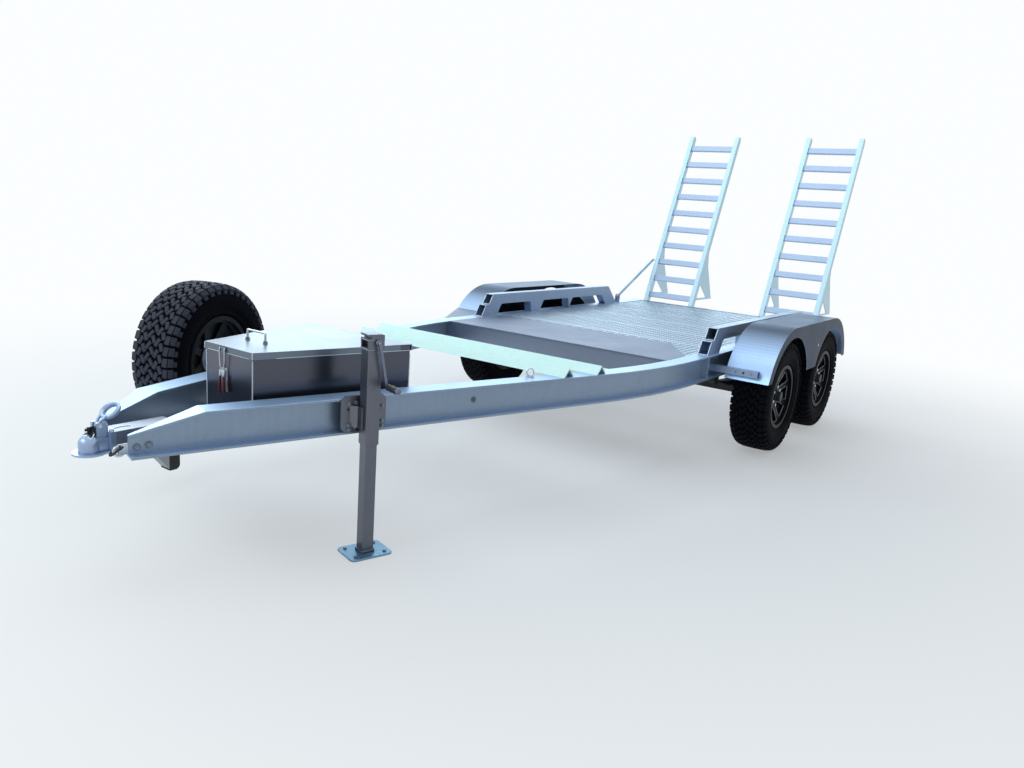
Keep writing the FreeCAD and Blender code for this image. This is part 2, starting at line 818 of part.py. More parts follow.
def leaf(centre_x, reach, z, camber):
    """One leaf: an arc in side view, lowest at the axle."""
    y0 = spring_y - spring_width / 2
    low = [V(centre_x - reach, y0, z + camber), V(centre_x, y0, z), V(centre_x + reach, y0, z + camber)]
    high = [p + V(0, 0, leaf_thick) for p in low]
    edges = [Part.Arc(*low).toShape(), Part.makeLine(low[2], high[2]),
             Part.Arc(*high).toShape(), Part.makeLine(high[0], low[0])]
    return Part.Face(Part.Wire(edges)).extrude(V(0, spring_width, 0))


def leaf_spring(side, x):
    leaves = []
    for i in range(leaf_count):
        share = (i + 1) / leaf_count
        z = spring_seat_z + i * leaf_thick
        leaves.append(leaf(x, spring_reach * share, z, spring_camber * share * share))
    y0 = spring_y - spring_width / 2
    for s in (-1, 1):
        leaves.append(rod((x + s * spring_reach, y0, eye_z), (0, 1, 0), eye_radius, spring_width))
    saddle = box(x - 45, x + 45, y0, y0 + spring_width, spring_seat_z + leaf_count * leaf_thick,
                 spring_seat_z + leaf_count * leaf_thick + 14)
    return mirrored(joined(leaves + [saddle]), side)


def spring_hangers(side):
    shapes = []
    y0 = spring_y - spring_width / 2
    middle = (front_axle_x + rear_axle_x) / 2
    ends = (front_axle_x + spring_reach, rear_axle_x - spring_reach)
    for x in ends:
        for y in (y0 - hanger_thick, y0 + spring_width):
            shapes.append(side_prism([(x - 30, eye_z - 26), (x + 30, eye_z - 26), (x + 42, beam_bottom),
                                      (x - 42, beam_bottom)], y, y + hanger_thick))
    for y in (y0 - hanger_thick, y0 + spring_width):
        shapes.append(side_prism([(middle - 34, eye_z - 40), (middle + 34, eye_z - 40),
                                  (middle + 60, beam_bottom), (middle - 60, beam_bottom)],
                                 y, y + hanger_thick))
    return [mirrored(shape, side) for shape in shapes]


def rocker(side):
    """Equaliser beam between the two springs, on its pin in the middle hanger."""
    middle = (front_axle_x + rear_axle_x) / 2
    half = middle - rear_axle_x - spring_reach - eye_radius
    y0 = spring_y - spring_width / 2
    plate = side_prism([(middle - half, eye_z - 12), (middle + half, eye_z - 12),
                        (middle + half, eye_z + 6), (middle + 15, eye_z + 14),
                        (middle - 15, eye_z + 14), (middle - half, eye_z + 6)], y0, y0 + spring_width)
    return mirrored(plate, side)


def axle(x):
    beam = box(x - axle_square / 2, x + axle_square / 2, -half_frame - 30, half_frame + 30,
               axle_z - axle_square / 2, axle_z + axle_square / 2)
    stubs = [rod((x, side * (half_frame + 30), axle_z), (0, side, 0), stub_radius,
                 wheel_mid_y - half_frame + 15) for side in (LEFT, RIGHT)]
    return joined([beam] + stubs)


# Wheels, drawn with their middle plane at y = 0 and their outer face towards +Y
half_tyre = tyre_width / 2
half_rim = rim_width / 2
disc_y = 38


rim_lip = rim_radius + rim_lip_rise
rim_seat = rim_radius - rim_seat_drop
rim_well = rim_radius - rim_well_drop
spoke_root = hub_radius + 36
tyre_wall = 14


def tyre_solid():
    """Closed casing: two beads on the rim's seats, bulged walls, shoulders and a flat tread."""
    shoulder = tyre_radius - 16
    bead = rim_seat + tyre_fit
    half = [(half_rim, rim_lip + 3), (half_tyre - 2, rim_radius + 52), (half_tyre, tyre_radius - 82),
            (half_tyre - 8, shoulder - 12), (half_tyre - 24, shoulder + 10), (half_tyre - 60, tyre_radius)]
    inside = [(half_rim - tyre_wall, tyre_radius - 40), (half_rim - tyre_wall, bead), (half_rim, bead)]
    return spun([(half_rim, bead)] + half + [(-y, r) for y, r in half[::-1]]
                + [(-y, r) for y, r in inside[::-1]] + inside[:2], 0, 0)


def rim_solid():
    """Rolled barrel with two flanges and a well, and a dished disc cut through between spokes."""
    w = rim_wall
    lip_y = half_rim + tyre_fit
    outer = half_rim + 8
    profile = [(-outer, rim_lip), (-lip_y, rim_lip), (-lip_y, rim_seat), (-half_rim + 30, rim_seat),
               (-half_rim + 52, rim_well), (half_rim - 60, rim_well), (half_rim - 40, rim_seat),
               (lip_y, rim_seat), (lip_y, rim_lip), (outer, rim_lip), (outer, rim_seat - w),
               (half_rim - 36, rim_seat - w), (half_rim - 56, rim_well - w), (-half_rim + 48, rim_well - w),
               (-half_rim + 28, rim_seat - w), (-outer, rim_seat - w)]
    barrel = spun(profile, 0, 0)
    disc = spun([(disc_y, hub_radius - 12), (disc_y, spoke_root), (half_rim - 34, rim_seat - w + 1),
                 (half_rim - 16, rim_seat - w + 1), (disc_y + 14, spoke_root), (disc_y + 14, hub_radius - 12)],
                0, 0)
    y0 = disc_y - 9
    window = prism([(-16, y0, spoke_root - 4), (16, y0, spoke_root - 4), (50, y0, rim_seat - w - 16),
                    (-50, y0, rim_seat - w - 16)], (0, half_rim, 0))
    windows = [turned(window, (0, 0, 0), (0, 1, 0), i * 360 / spoke_count) for i in range(spoke_count)]
    return joined([barrel, disc.cut(Part.makeCompound(windows))])


def hub_solid():
    """Brake drum, hub barrel and grease cap, with a running bore for the stub."""
    back = disc_y - drum_width
    drum = spun([(back, drum_radius), (disc_y - 0.3, drum_radius - 6), (disc_y - 0.3, 0), (disc_y - 12, 0),
                 (disc_y - 12, drum_radius - 16), (back, drum_radius - 8)], 0, 0)
    barrel = rod((0, back + 4, 0), (0, 1, 0), hub_radius - 13, disc_y + 30 - back)
    cap = rod((0, disc_y + 34, 0), (0, 1, 0), cap_radius, 26)
    bore = rod((0, back - 1, 0), (0, 1, 0), stub_radius + stub_clearance, disc_y + 20 - back)
    return joined([drum, barrel, cap]).cut(bore)


def at_wheel(shape, x, side):
    """The wheel's outer face turns to the trailer's side."""
    return mirrored(moved(shape, x, wheel_mid_y, axle_z), side)


def at_spare(shape):
    """The spare's outer face turns inboard, and it stands parallel to the right beam."""
    facing = turned(shape, (0, 0, 0), (0, 0, 1), drawbar_angle)
    return moved(facing, spare_x, spare_y, spare_z)


def spare_carrier():
    """Bracket from the right beam's web to the spare's disc, with a stud plate."""
    face = disc_y + 14 + tyre_fit
    plate = rod((0, face, 0), (0, 1, 0), 78, plate_thick)
    outline = []
    for half in (-30, 30):
        x = spare_x + half * math.cos(bend) - (face + plate_thick) * math.sin(bend)
        y = spare_y + half * math.sin(bend) + (face + plate_thick) * math.cos(bend)
        inset = beam_mid - web_half
        ends = [(x, y), (x, -edge_point(inset, along_at(inset, x), 0).y)]
        outline += ends if half < 0 else ends[::-1]
    return joined([at_spare(plate), plan_prism(outline, spare_z - 50, spare_z - 10)])


# Ramps: ladder ramps, drawn upright from the hinge and leant back to rest
def ramp_spot(side):
    """Middle of the ramp across the trailer."""
    return side * (ramp_outer - ramp_width) / 2


def leant(shape):
    """Tilt a piece drawn upright at the origin back to its rest, at the hinge."""
    return moved(turned(shape, (0, 0, 0), (0, 1, 0), -ramp_lean), hinge_x, 0, hinge_z)


def stile(y):
    half = stile_depth / 2
    y0 = y - stile_width / 2
    bar = box(-half, half, y0, y0 + stile_width, 0, ramp_length - half)
    foot = rod((0, y0, 0), (0, 1, 0), half, stile_width)
    head = rod((0, y0, ramp_length - half), (0, 1, 0), half, stile_width)
    bore = rod((0, y0 - 1, 0), (0, 1, 0), pin_radius + pin_clearance, stile_width + 2)
    return joined([bar, foot, head]).cut(bore)


def ramp(side):
    mid = ramp_spot(side)
    reach = (ramp_width - stile_width) / 2
    bars = [stile(mid - reach), stile(mid + reach)]
    inner = reach - stile_width / 2
    for i in range(rung_count):
        z = rung_first + i * rung_pitch
        bars.append(box(-rung_depth / 2, rung_depth / 2, mid - inner, mid + inner,
                        z - rung_height / 2, z + rung_height / 2))
    return leant(joined(bars))


def ramp_legs(side):
    """Plate legs behind the stiles, tied back at the foot: they prop the tail on lowered ramps."""
    mid = ramp_spot(side)
    reach = (ramp_width - stile_width) / 2
    shapes = []
    rear = -stile_depth / 2
    profile = [(rear, leg_top), (rear - 100, leg_top - 168), (-leg_reach, leg_foot),
               (-leg_reach + 102, leg_foot - 42), (rear, leg_crotch)]
    for y in (mid - reach, mid + reach):
        leg = side_prism(profile, y - leg_thick / 2, y + leg_thick / 2)
        tie = side_prism([(rear, tie_foot), (rear, tie_foot + tie_depth),
                          (-leg_reach + 90, leg_foot - 18), (-leg_reach + 102, leg_foot - 42)],
                         y - leg_thick / 2, y + leg_thick / 2)
        shapes.append(leant(joined([leg, tie])))
    return shapes


def ramp_hinge(side):
    """Lugs welded to the tail member on both sides of each stile, with one long pin."""
    mid = ramp_spot(side)
    reach = (ramp_width - stile_width) / 2
    shapes = []
    pin_half = ramp_width / 2 + lug_thick + 6
    pin = rod((hinge_x, mid - pin_half, hinge_z), (0, 1, 0), pin_radius, 2 * pin_half)
    for y in (mid - reach, mid + reach):
        for y0 in (y - stile_width / 2 - lug_thick - 1, y + stile_width / 2 + 1):
            shapes.append(joined([box(hinge_x, 0, y0, y0 + lug_thick, hinge_z - knuckle_radius,
                                      hinge_z + knuckle_radius),
                                  rod((hinge_x, y0, hinge_z), (0, 1, 0), knuckle_radius, lug_thick)]))
    return joined([pin] + shapes)


# Stay that holds the right ramp up: it swings on a lug behind the rail, its pin against the stile
stay_y = -(half_frame - beam_mid)
stay_pivot = (stay_pivot_x, stay_y, deck_height + stay_pivot_rise)
stay_run = stay_pivot_x - hinge_x + stay_tip_rise * math.tan(lean)
stay_climb = hinge_z + stay_tip_rise - stay_pivot[2]
stay_length = math.hypot(stay_run, stay_climb)
stay_angle = math.degrees(math.atan2(stay_climb, stay_run))


def ramp_stay():
    half = stay_depth / 2
    y0 = -stay_thick / 2
    bar = box(0, stay_length, y0, y0 + stay_thick, -half, half)
    ends = [rod((x, y0, 0), (0, 1, 0), half, stay_thick) for x in (0, stay_length)]
    reach = -ramp_outer / 2 - stay_y - pin_slack
    tip = rod((stay_length, 0, 0), (0, 1, 0), stay_pin, reach)
    bore = rod((0, y0 - 1, 0), (0, 1, 0), stay_pin + pin_clearance, stay_thick + 2)
    drawn = joined([bar, tip] + ends).cut(bore)
    return moved(turned(drawn, (0, 0, 0), (0, 1, 0), 180 + stay_angle), *stay_pivot)


def stay_lug():
    """Two ears on the beam flange with the pin that the stay turns on."""
    x, y, z = stay_pivot
    ears = []
    for y0 in (y - stay_thick / 2 - 1 - lug_thick, y + stay_thick / 2 + 1):
        ears.append(box(x - 20, x + 20, y0, y0 + lug_thick, deck_height, z))
        ears.append(rod((x, y0, z), (0, 1, 0), 20, lug_thick))
    half = stay_thick / 2 + lug_thick + 5
    return joined(ears + [rod((x, y - half, z), (0, 1, 0), stay_pin, 2 * half)])


def lashing_ring():
    """Delta ring in a strap on the left beam's top flange."""
    inset = flange_width - 18
    centre = edge_point(inset, along_at(inset, angle_front_x + lashing_ahead), deck_height)
    strap = box(centre.x - 14, centre.x + 14, centre.y - 16, centre.y + 16, deck_height, deck_height + 5)
    ring = Part.makeTorus(18, 4, V(centre.x, centre.y, deck_height + 24), V(0.6, 0.8, 0))
    return joined([strap, ring])


# Everything by node name
shapes = {}
shapes["left_main_beam"] = main_beam()
shapes["right_main_beam"] = mirrored(main_beam(), RIGHT)
shapes["coupling_mount"] = coupling_mount()
shapes["skid_plate"] = skid_plate()
shapes["skid_block"] = skid_block()
shapes["tow_coupling"] = tow_coupling()
shapes["coupling_lever"] = coupling_lever()
shapes["safety_shackles"] = safety_shackles()
shapes["toolbox"] = toolbox()
shapes["toolbox_lid"] = toolbox_lid()
shapes["lid_handle"] = lid_handle()
shapes["toolbox_latch"] = toolbox_latch()
shapes["toolbox_supports"] = toolbox_supports()
shapes["jack_mount"] = jack_mount()
shapes["jack_tube"] = jack_tube()
shapes["jack_gearhead"] = jack_gearhead()
shapes["jack_crank"] = jack_crank()
shapes["jack_leg"] = jack_leg()
shapes["jack_foot"] = jack_foot()
shapes["bucket_angles"] = [bucket_angle(angle_front_x), bucket_angle(angle_rear_x)]
shapes["front_channel"] = front_channel()
shapes["cross_members"] = cross_members()
shapes["tail_member"] = tail_member()
shapes["deck_front_plate"] = deck_front_plate()
shapes["right_wing_plate"] = right_wing_plate()
shapes["deck_mesh"] = deck_mesh()
shapes["ramp_stay"] = ramp_stay()
shapes["stay_lug"] = stay_lug()
shapes["lashing_ring"] = lashing_ring()
for side, name in ((LEFT, "left"), (RIGHT, "right")):
    shapes[name + "_side_rail"] = side_rail(side)
    shapes[name + "_mudguard"] = mudguard(side)
    shapes[name + "_ramp"] = ramp(side)
    shapes[name + "_ramp_legs"] = ramp_legs(side)
    for x, place in ((front_axle_x, "front"), (rear_axle_x, "rear")):
        shapes[place + "_" + name + "_tyre"] = at_wheel(tyre_solid(), x, side)
        shapes[place + "_" + name + "_rim"] = at_wheel(rim_solid(), x, side)
        shapes[place + "_" + name + "_hub"] = at_wheel(hub_solid(), x, side)
shapes["ramp_hinges"] = [ramp_hinge(LEFT), ramp_hinge(RIGHT)]
shapes["mudguard_arms"] = mudguard_arms(LEFT) + mudguard_arms(RIGHT)
shapes["leaf_springs"] = [leaf_spring(side, x) for side in (LEFT, RIGHT) for x in (front_axle_x, rear_axle_x)]
shapes["spring_hangers"] = spring_hangers(LEFT) + spring_hangers(RIGHT)
shapes["spring_rockers"] = [rocker(LEFT), rocker(RIGHT)]
shapes["axles"] = [axle(front_axle_x), axle(rear_axle_x)]
shapes["spare_tyre"] = at_spare(tyre_solid())
shapes["spare_rim"] = at_spare(rim_solid())
shapes["spare_carrier"] = spare_carrier()

# The origin goes below the middle of the whole length
front_end = coupling_x + lip_radius
rear_end = hinge_x - (ramp_length - stile_depth / 2) * math.sin(lean) - stile_depth / 2
middle_x = (front_end + rear_end) / 2

os.makedirs("parts", exist_ok=True)
for name, shape in shapes.items():
    if isinstance(shape, list):
        shape = Part.makeCompound(shape)
    placed = moved(shape, -middle_x, 0, 0)
    placed.exportStep("parts/" + name + ".step")

print("middle_x", middle_x, "nodes", len(shapes))
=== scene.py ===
import bpy
import json
import math
from mathutils import Matrix, Vector


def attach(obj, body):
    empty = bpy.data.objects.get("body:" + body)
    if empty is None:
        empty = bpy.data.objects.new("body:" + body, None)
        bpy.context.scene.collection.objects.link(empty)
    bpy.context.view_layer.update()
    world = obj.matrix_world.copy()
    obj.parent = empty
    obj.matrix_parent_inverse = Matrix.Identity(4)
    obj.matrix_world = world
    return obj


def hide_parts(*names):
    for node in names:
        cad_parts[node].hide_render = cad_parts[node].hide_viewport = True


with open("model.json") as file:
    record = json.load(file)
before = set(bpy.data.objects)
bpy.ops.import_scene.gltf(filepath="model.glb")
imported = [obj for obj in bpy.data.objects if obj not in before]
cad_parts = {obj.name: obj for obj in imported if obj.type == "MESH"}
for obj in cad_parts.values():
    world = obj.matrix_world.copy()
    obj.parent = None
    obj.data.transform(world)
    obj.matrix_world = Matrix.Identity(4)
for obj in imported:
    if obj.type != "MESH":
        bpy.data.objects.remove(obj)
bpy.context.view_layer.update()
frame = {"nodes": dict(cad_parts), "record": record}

# The setting: a plain pale floor that fades to white away from the trailer, under an even, slightly cool
# sky. One wide soft lamp hangs overhead, three stand behind and to the right, and one stands ahead.
scene = bpy.context.scene
scene.view_settings.view_transform = "Standard"


def shader_node(tree, kind, sockets, **options):
    """A new node with its options set, and each socket given a number, a colour or another node's output."""
    node = tree.nodes.new("ShaderNode" + kind)
    for option, value in options.items():
        setattr(node, option, value)
    for title, value in sockets.items():
        if isinstance(value, bpy.types.NodeSocket):
            tree.links.new(value, node.inputs[title])
        else:
            node.inputs[title].default_value = value
    return node


def rays_seen(tree):
    """One for what is seen straight, in a gloss or through glass, and nought for light on its way."""
    rays = shader_node(tree, "LightPath", {}).outputs
    glossy = shader_node(tree, "Math", {0: rays["Is Camera Ray"], 1: rays["Is Glossy Ray"]},
                         operation="MAXIMUM")
    return shader_node(tree, "Math", {0: glossy.outputs[0], 1: rays["Is Transmission Ray"]},
                       operation="MAXIMUM").outputs[0]


def new_finish(name, sockets):
    """A new material, its node tree and its shader, with the named sockets given their values."""
    finish = bpy.data.materials.new(name)
    finish.use_nodes = True
    shader = finish.node_tree.nodes["Principled BSDF"]
    for title, value in sockets.items():
        shader.inputs[title].default_value = value
    return finish, finish.node_tree, shader


def in_scene(name, data):
    """A new object of the data, linked to the scene."""
    piece = bpy.data.objects.new(name, data)
    scene.collection.objects.link(piece)
    return piece


def primitive(add, **sizes):
    """A new mesh made by one of Blender's primitive tools, alone in the selection."""
    bpy.ops.object.select_all(action="DESELECT")
    add(**sizes)
    return bpy.context.object


white_sky, quiet_sky, quiet_strength = (0.97, 0.99, 1.0, 1), (0.80, 0.90, 1.0, 1), 0.32
world = bpy.data.worlds.new("soft_sky")
scene.world = world
world.use_nodes = True
sky = world.node_tree
sky.nodes.clear()
shown_sky = shader_node(sky, "Background", {"Color": white_sky, "Strength": 1.0})
fill_sky = shader_node(sky, "Background", {"Color": quiet_sky, "Strength": quiet_strength})
sky_mix = shader_node(sky, "MixShader", {
    "Fac": rays_seen(sky), 1: fill_sky.outputs[0], 2: shown_sky.outputs[0]})
shader_node(sky, "OutputWorld", {"Surface": sky_mix.outputs[0]})

floor_size, floor_colour = 60, (0.74, 0.76, 0.78, 1)
fade_start, fade_end, near_glow = 1.0, 6.5, 0.35
floor = primitive(bpy.ops.mesh.primitive_plane_add, size=floor_size, location=(0, 0, 0))
floor.name = "floor"
floor_finish, floor_tree, floor_shader = new_finish("floor_finish", {
    "Base Color": floor_colour, "Roughness": 0.9, "Specular IOR Level": 0.1})
floor_glow = shader_node(floor_tree, "Emission", {"Color": white_sky, "Strength": 1.0})
floor_place = shader_node(floor_tree, "TexCoord", {})
floor_reach = shader_node(floor_tree, "VectorMath", {0: floor_place.outputs["Object"]}, operation="LENGTH")
floor_fade = shader_node(floor_tree, "MapRange", {
    "Value": floor_reach.outputs["Value"], "From Min": fade_start, "From Max": fade_end, "To Min": near_glow,
    "To Max": 1.0}, interpolation_type="SMOOTHSTEP")
floor_share = shader_node(floor_tree, "Math", {0: rays_seen(floor_tree), 1: floor_fade.outputs["Result"]},
                          operation="MULTIPLY")
floor_mix = shader_node(floor_tree, "MixShader", {
    "Fac": floor_share.outputs[0], 1: floor_shader.outputs["BSDF"], 2: floor_glow.outputs["Emission"]})
floor_tree.links.new(floor_mix.outputs["Shader"], floor_tree.nodes["Material Output"].inputs["Surface"])
floor.data.materials.append(floor_finish)


def soft_lamp(name, place, aim, width, depth, watts, colour):
    """A wide rectangular lamp that the camera doesn't see."""
    data = bpy.data.lights.new(name, "AREA")
    data.shape = "RECTANGLE"
    data.size = width
    data.size_y = depth
    data.energy = watts
    data.color = colour
    lamp = in_scene(name, data)
    beam = Vector(aim) - Vector(place)
    lamp.matrix_world = Matrix.Translation(place) @ beam.to_track_quat("-Z", "Y").to_matrix().to_4x4()
    lamp.visible_camera = False


soft_lamp("overhead_lamp", (-0.5, -1.0, 6.5), (-0.4, 0, 0), 9.0, 6.0, 190, (0.86, 0.94, 1.0))
soft_lamp("rear_lamp", (-9.0, -6.0, 4.2), (0, 0, 0.6), 13.0, 6.0, 400, (0.66, 0.85, 1.0))
soft_lamp("right_lamp", (-2.5, -12.5, 3.8), (2.5, 0.4, 0.65), 12.0, 3.6, 240, (0.62, 0.84, 1.0))
soft_lamp("high_right_lamp", (-1.0, -11.0, 7.4), (3.0, 0, 0.6), 7.0, 6.0, 500, (0.90, 1.0, 0.97))
soft_lamp("front_lamp", (8.5, -2.5, 4.8), (0, 0, 0.6), 6.0, 3.0, 205, (0.78, 0.95, 1.0))

camera_place = (4.6012, 2.6780, 1.4392)
camera_yaw, camera_pitch, camera_roll = -2.5312, -0.2203, 0.0749
look = Vector((math.cos(camera_yaw) * math.cos(camera_pitch), math.sin(camera_yaw) * math.cos(camera_pitch),
               math.sin(camera_pitch)))
level = Vector((math.sin(camera_yaw), -math.cos(camera_yaw), 0))
upright = level.cross(look)
camera_right = math.cos(camera_roll) * level + math.sin(camera_roll) * upright
camera_up = math.cos(camera_roll) * upright - math.sin(camera_roll) * level
camera_data = bpy.data.cameras.new("camera")
camera_data.sensor_width = 36
camera_data.lens = 27.985
camera_data.shift_x = 0.00195
camera_data.shift_y = 0.00287
camera = in_scene("camera", camera_data)
camera_turn = Matrix((camera_right, camera_up, -look)).transposed().to_4x4()
camera.matrix_world = Matrix.Translation(camera_place) @ camera_turn
scene.camera = camera


# Main beams: two extruded aluminium I sections, drawn in to the nose by a press and welded to the
# coupling mount. Mill finish with faint die lines along the section, with painted light making it paler where it
# looks up.
body_of = {node: body for body, nodes in frame["record"]["behaviour"]["bodies"].items() for node in nodes}
sides = ((1, "left"), (-1, "right"))


def shared_group(name, inputs, outputs):
    """An empty node group with the named number or vector inputs and the named number outputs."""
    group = bpy.data.node_groups.new(name, "ShaderNodeTree")
    for title, kind, value in inputs:
        socket = group.interface.new_socket(title, in_out="INPUT", socket_type="NodeSocket" + kind)
        socket.default_value = value
    for title in outputs:
        group.interface.new_socket(title, in_out="OUTPUT", socket_type="NodeSocketFloat")
    return group, group.nodes.new("NodeGroupInput"), group.nodes.new("NodeGroupOutput")


grain_group, grain_in, grain_out = shared_group(
    "drawn_grain", [("Stretch", "Vector", (1, 1, 1)), ("Fineness", "Float", 400.0)],
    ("Lines", "Clouds", "Smears"))
grain_place = shader_node(grain_group, "TexCoord", {}).outputs["Object"]
stretched = shader_node(grain_group, "VectorMath", {0: grain_place, 1: grain_in.outputs["Stretch"]},
                        operation="MULTIPLY")
die_lines = shader_node(grain_group, "TexNoise", {
    "Vector": stretched.outputs[0], "Scale": grain_in.outputs["Fineness"], "Detail": 3})
clouds = shader_node(grain_group, "TexNoise", {"Vector": grain_place, "Scale": 5.0, "Detail": 4})
smears = shader_node(grain_group, "TexNoise", {
    "Vector": grain_place, "Scale": 22.0, "Detail": 6, "Distortion": 1.2})
smear_range = shader_node(grain_group, "MapRange", {
    "Value": smears.outputs["Fac"], "From Min": 0.52, "From Max": 0.74})
for title, source in (("Lines", die_lines.outputs["Fac"]), ("Clouds", clouds.outputs["Fac"]),
                      ("Smears", smear_range.outputs["Result"])):
    grain_group.links.new(source, grain_out.inputs[title])

# Grime with painted shade: an ambient occlusion mask, one in corners, creases and grooves where little light
# reaches.
grime_and_shade_group, grime_and_shade_in, grime_and_shade_out = shared_group("corner_grime_and_shade", [("Reach", "Float", 0.02)], ("Mask",))
hollow = shader_node(grime_and_shade_group, "AmbientOcclusion", {"Distance": grime_and_shade_in.outputs["Reach"]}, samples=4)
hollow_range = shader_node(grime_and_shade_group, "MapRange", {
    "Value": hollow.outputs["AO"], "From Min": 0.35, "From Max": 0.85, "To Min": 1.0, "To Max": 0.0})
grime_and_shade_group.links.new(hollow_range.outputs["Result"], grime_and_shade_out.inputs["Mask"])

# Painted light and shade by facing: masks of the faces that look up and of upright side faces, which drawn_metal
# paints in their own tones for the light they catch.
painted_facing_group, facing_in, facing_out = shared_group("painted_light_by_facing", [], ("Up", "Aside"))
surface = shader_node(painted_facing_group, "NewGeometry", {})
axes = shader_node(painted_facing_group, "SeparateXYZ", {0: surface.outputs["True Normal"]}).outputs
sideways = shader_node(painted_facing_group, "Math", {0: axes["Y"]}, operation="ABSOLUTE")
for source, title, low, high in ((axes["Z"], "Up", 0.60, 0.95), (sideways.outputs[0], "Aside", 0.75, 0.97)):
    span = shader_node(painted_facing_group, "MapRange", {"Value": source, "From Min": low, "From Max": high})
    painted_facing_group.links.new(span.outputs["Result"], facing_out.inputs[title])


def blend_colours(tree, mask, low, high):
    """A mix of two colours by a mask; each side is a colour or another node's output."""
    low, high = (value + (1,) if isinstance(value, tuple) else value for value in (low, high))
    return shader_node(tree, "Mix", {"Factor": mask, 6: low, 7: high}, data_type="RGBA").outputs[2]


def blend_numbers(tree, mask, low, high):
    return shader_node(tree, "MapRange", {"Value": mask, "To Min": low, "To Max": high}).outputs["Result"]


def fine_relief(tree, shader, height, strength, depth):
    bump = shader_node(tree, "Bump", {"Strength": strength, "Distance": depth, "Height": height})
    tree.links.new(bump.outputs["Normal"], shader.inputs["Normal"])


def toned(colour, share):
    return tuple(min(1.0, part * share) for part in colour)


smear_strength, dull_share, grime_and_shade_share, line_depth = 0.45, 0.86, 0.35, 0.0006


def drawn_metal(name, colour, metallic, roughness, stretch, fineness=400.0, lines=0.10, relief=0.10,
                grime_and_shade=0.30, grime_and_shade_reach=0.008, painted_up_tone=None, painted_side_tone=None):
    """Bare metal with lines along its grain, clouds of dullness, smears, and grime with painted shade
    darkening its corners. The painted up tone is the colour painted on faces that look up for the light
    they catch, and the painted side tone is the colour painted on upright side faces."""
    finish, tree, shader = new_finish(name, {"Metallic": metallic})
    grain = shader_node(tree, "Group", {"Stretch": stretch, "Fineness": fineness}, node_tree=grain_group)
    grime_and_shade_node = shader_node(tree, "Group", {"Reach": grime_and_shade_reach}, node_tree=grime_and_shade_group)
    lined = blend_colours(tree, grain.outputs["Lines"], toned(colour, 1 - lines), toned(colour, 1 + lines))
    smear_mask = blend_numbers(tree, grain.outputs["Smears"], 0.0, smear_strength)
    smeared = blend_colours(tree, smear_mask, lined, toned(colour, dull_share))
    # Grime with painted shade: corners that little light reaches are darkened.
    grime_and_shade_mask = blend_numbers(tree, grime_and_shade_node.outputs["Mask"], 0.0, grime_and_shade)
    coloured = blend_colours(tree, grime_and_shade_mask, smeared, toned(colour, grime_and_shade_share))
    # Painted light and shade: faces that look up and upright side faces take their own tones.
    if painted_up_tone or painted_side_tone:
        faces = shader_node(tree, "Group", {}, node_tree=painted_facing_group)
        for title, tone in (("Up", painted_up_tone), ("Aside", painted_side_tone)):
            if tone:
                coloured = blend_colours(tree, faces.outputs[title], coloured, tone)
    tree.links.new(coloured, shader.inputs["Base Color"])
    cloudy = blend_numbers(tree, grain.outputs["Clouds"], roughness * 0.8, roughness * 1.25)
    tree.links.new(cloudy, shader.inputs["Roughness"])
    fine_relief(tree, shader, grain.outputs["Lines"], relief, line_depth)
    return finish


def select_only(piece):
    bpy.ops.object.select_all(action="DESELECT")
    piece.select_set(True)
    bpy.context.view_layer.objects.active = piece


def carried(piece, node, stands_in, finish=None):
    """Hangs a piece on the body of the node that it is fixed to or stands for, in its own finish."""
    if finish:
        piece.data.materials.clear()
        piece.data.materials.append(finish)
    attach(piece, body_of[node])
    if stands_in:
        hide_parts(node)
    return piece


def edit_all(piece):
    select_only(piece)
    bpy.ops.object.mode_set(mode="EDIT")
    bpy.ops.mesh.select_mode(type="VERT")
    bpy.ops.mesh.select_all(action="SELECT")


def edit_done():
    bpy.ops.object.mode_set(mode="OBJECT")


def modified(piece, kind, **values):
    """Adds a modifier with its values set, and applies it."""
    modifier = piece.modifiers.new(kind.lower(), kind)
    for title, value in values.items():
        setattr(modifier, title, value)
    bpy.ops.object.modifier_apply(modifier=modifier.name)


same_point, flat_angle, sharp_angle = 0.00002, math.radians(0.4), math.radians(35)


def softened(node, finish, width, smooth=35):
    """The CAD piece with its sharp edges broken by a small bevel, as sawn and folded metal has."""
    piece = in_scene(node + "_finished", frame["nodes"][node].data.copy())
    edit_all(piece)
    bpy.ops.mesh.remove_doubles(threshold=same_point)
    bpy.ops.mesh.dissolve_limited(angle_limit=flat_angle)
    edit_done()
    modified(piece, "BEVEL", width=width, segments=2, limit_method="ANGLE", angle_limit=sharp_angle,
             harden_normals=True)
    bpy.ops.object.shade_smooth_by_angle(angle=math.radians(smooth))
    modified(piece, "WEIGHTED_NORMAL", keep_sharp=True)
    return carried(piece, node, True, finish)


def pick(piece, test):
    """In edit mode, selects only the vertices whose place passes the test."""
    bpy.ops.mesh.select_all(action="DESELECT")
    edit_done()
    for vertex in piece.data.vertices:
        vertex.select = test(vertex.co)
    bpy.ops.object.mode_set(mode="EDIT")


def joined_pieces(parts):
    select_only(parts[0])
    for part in parts[1:]:
        part.select_set(True)
    bpy.ops.object.join()
    return parts[0]


def fixed(piece, name, node, finish, smooth=35, stands_in=False):
    """A new piece, named and shaded smooth, carried by the node that it is fixed to or stands for."""
    select_only(piece)
    bpy.ops.object.shade_smooth_by_angle(angle=math.radians(smooth))
    piece.name = name
    return carried(piece, node, stands_in, finish)


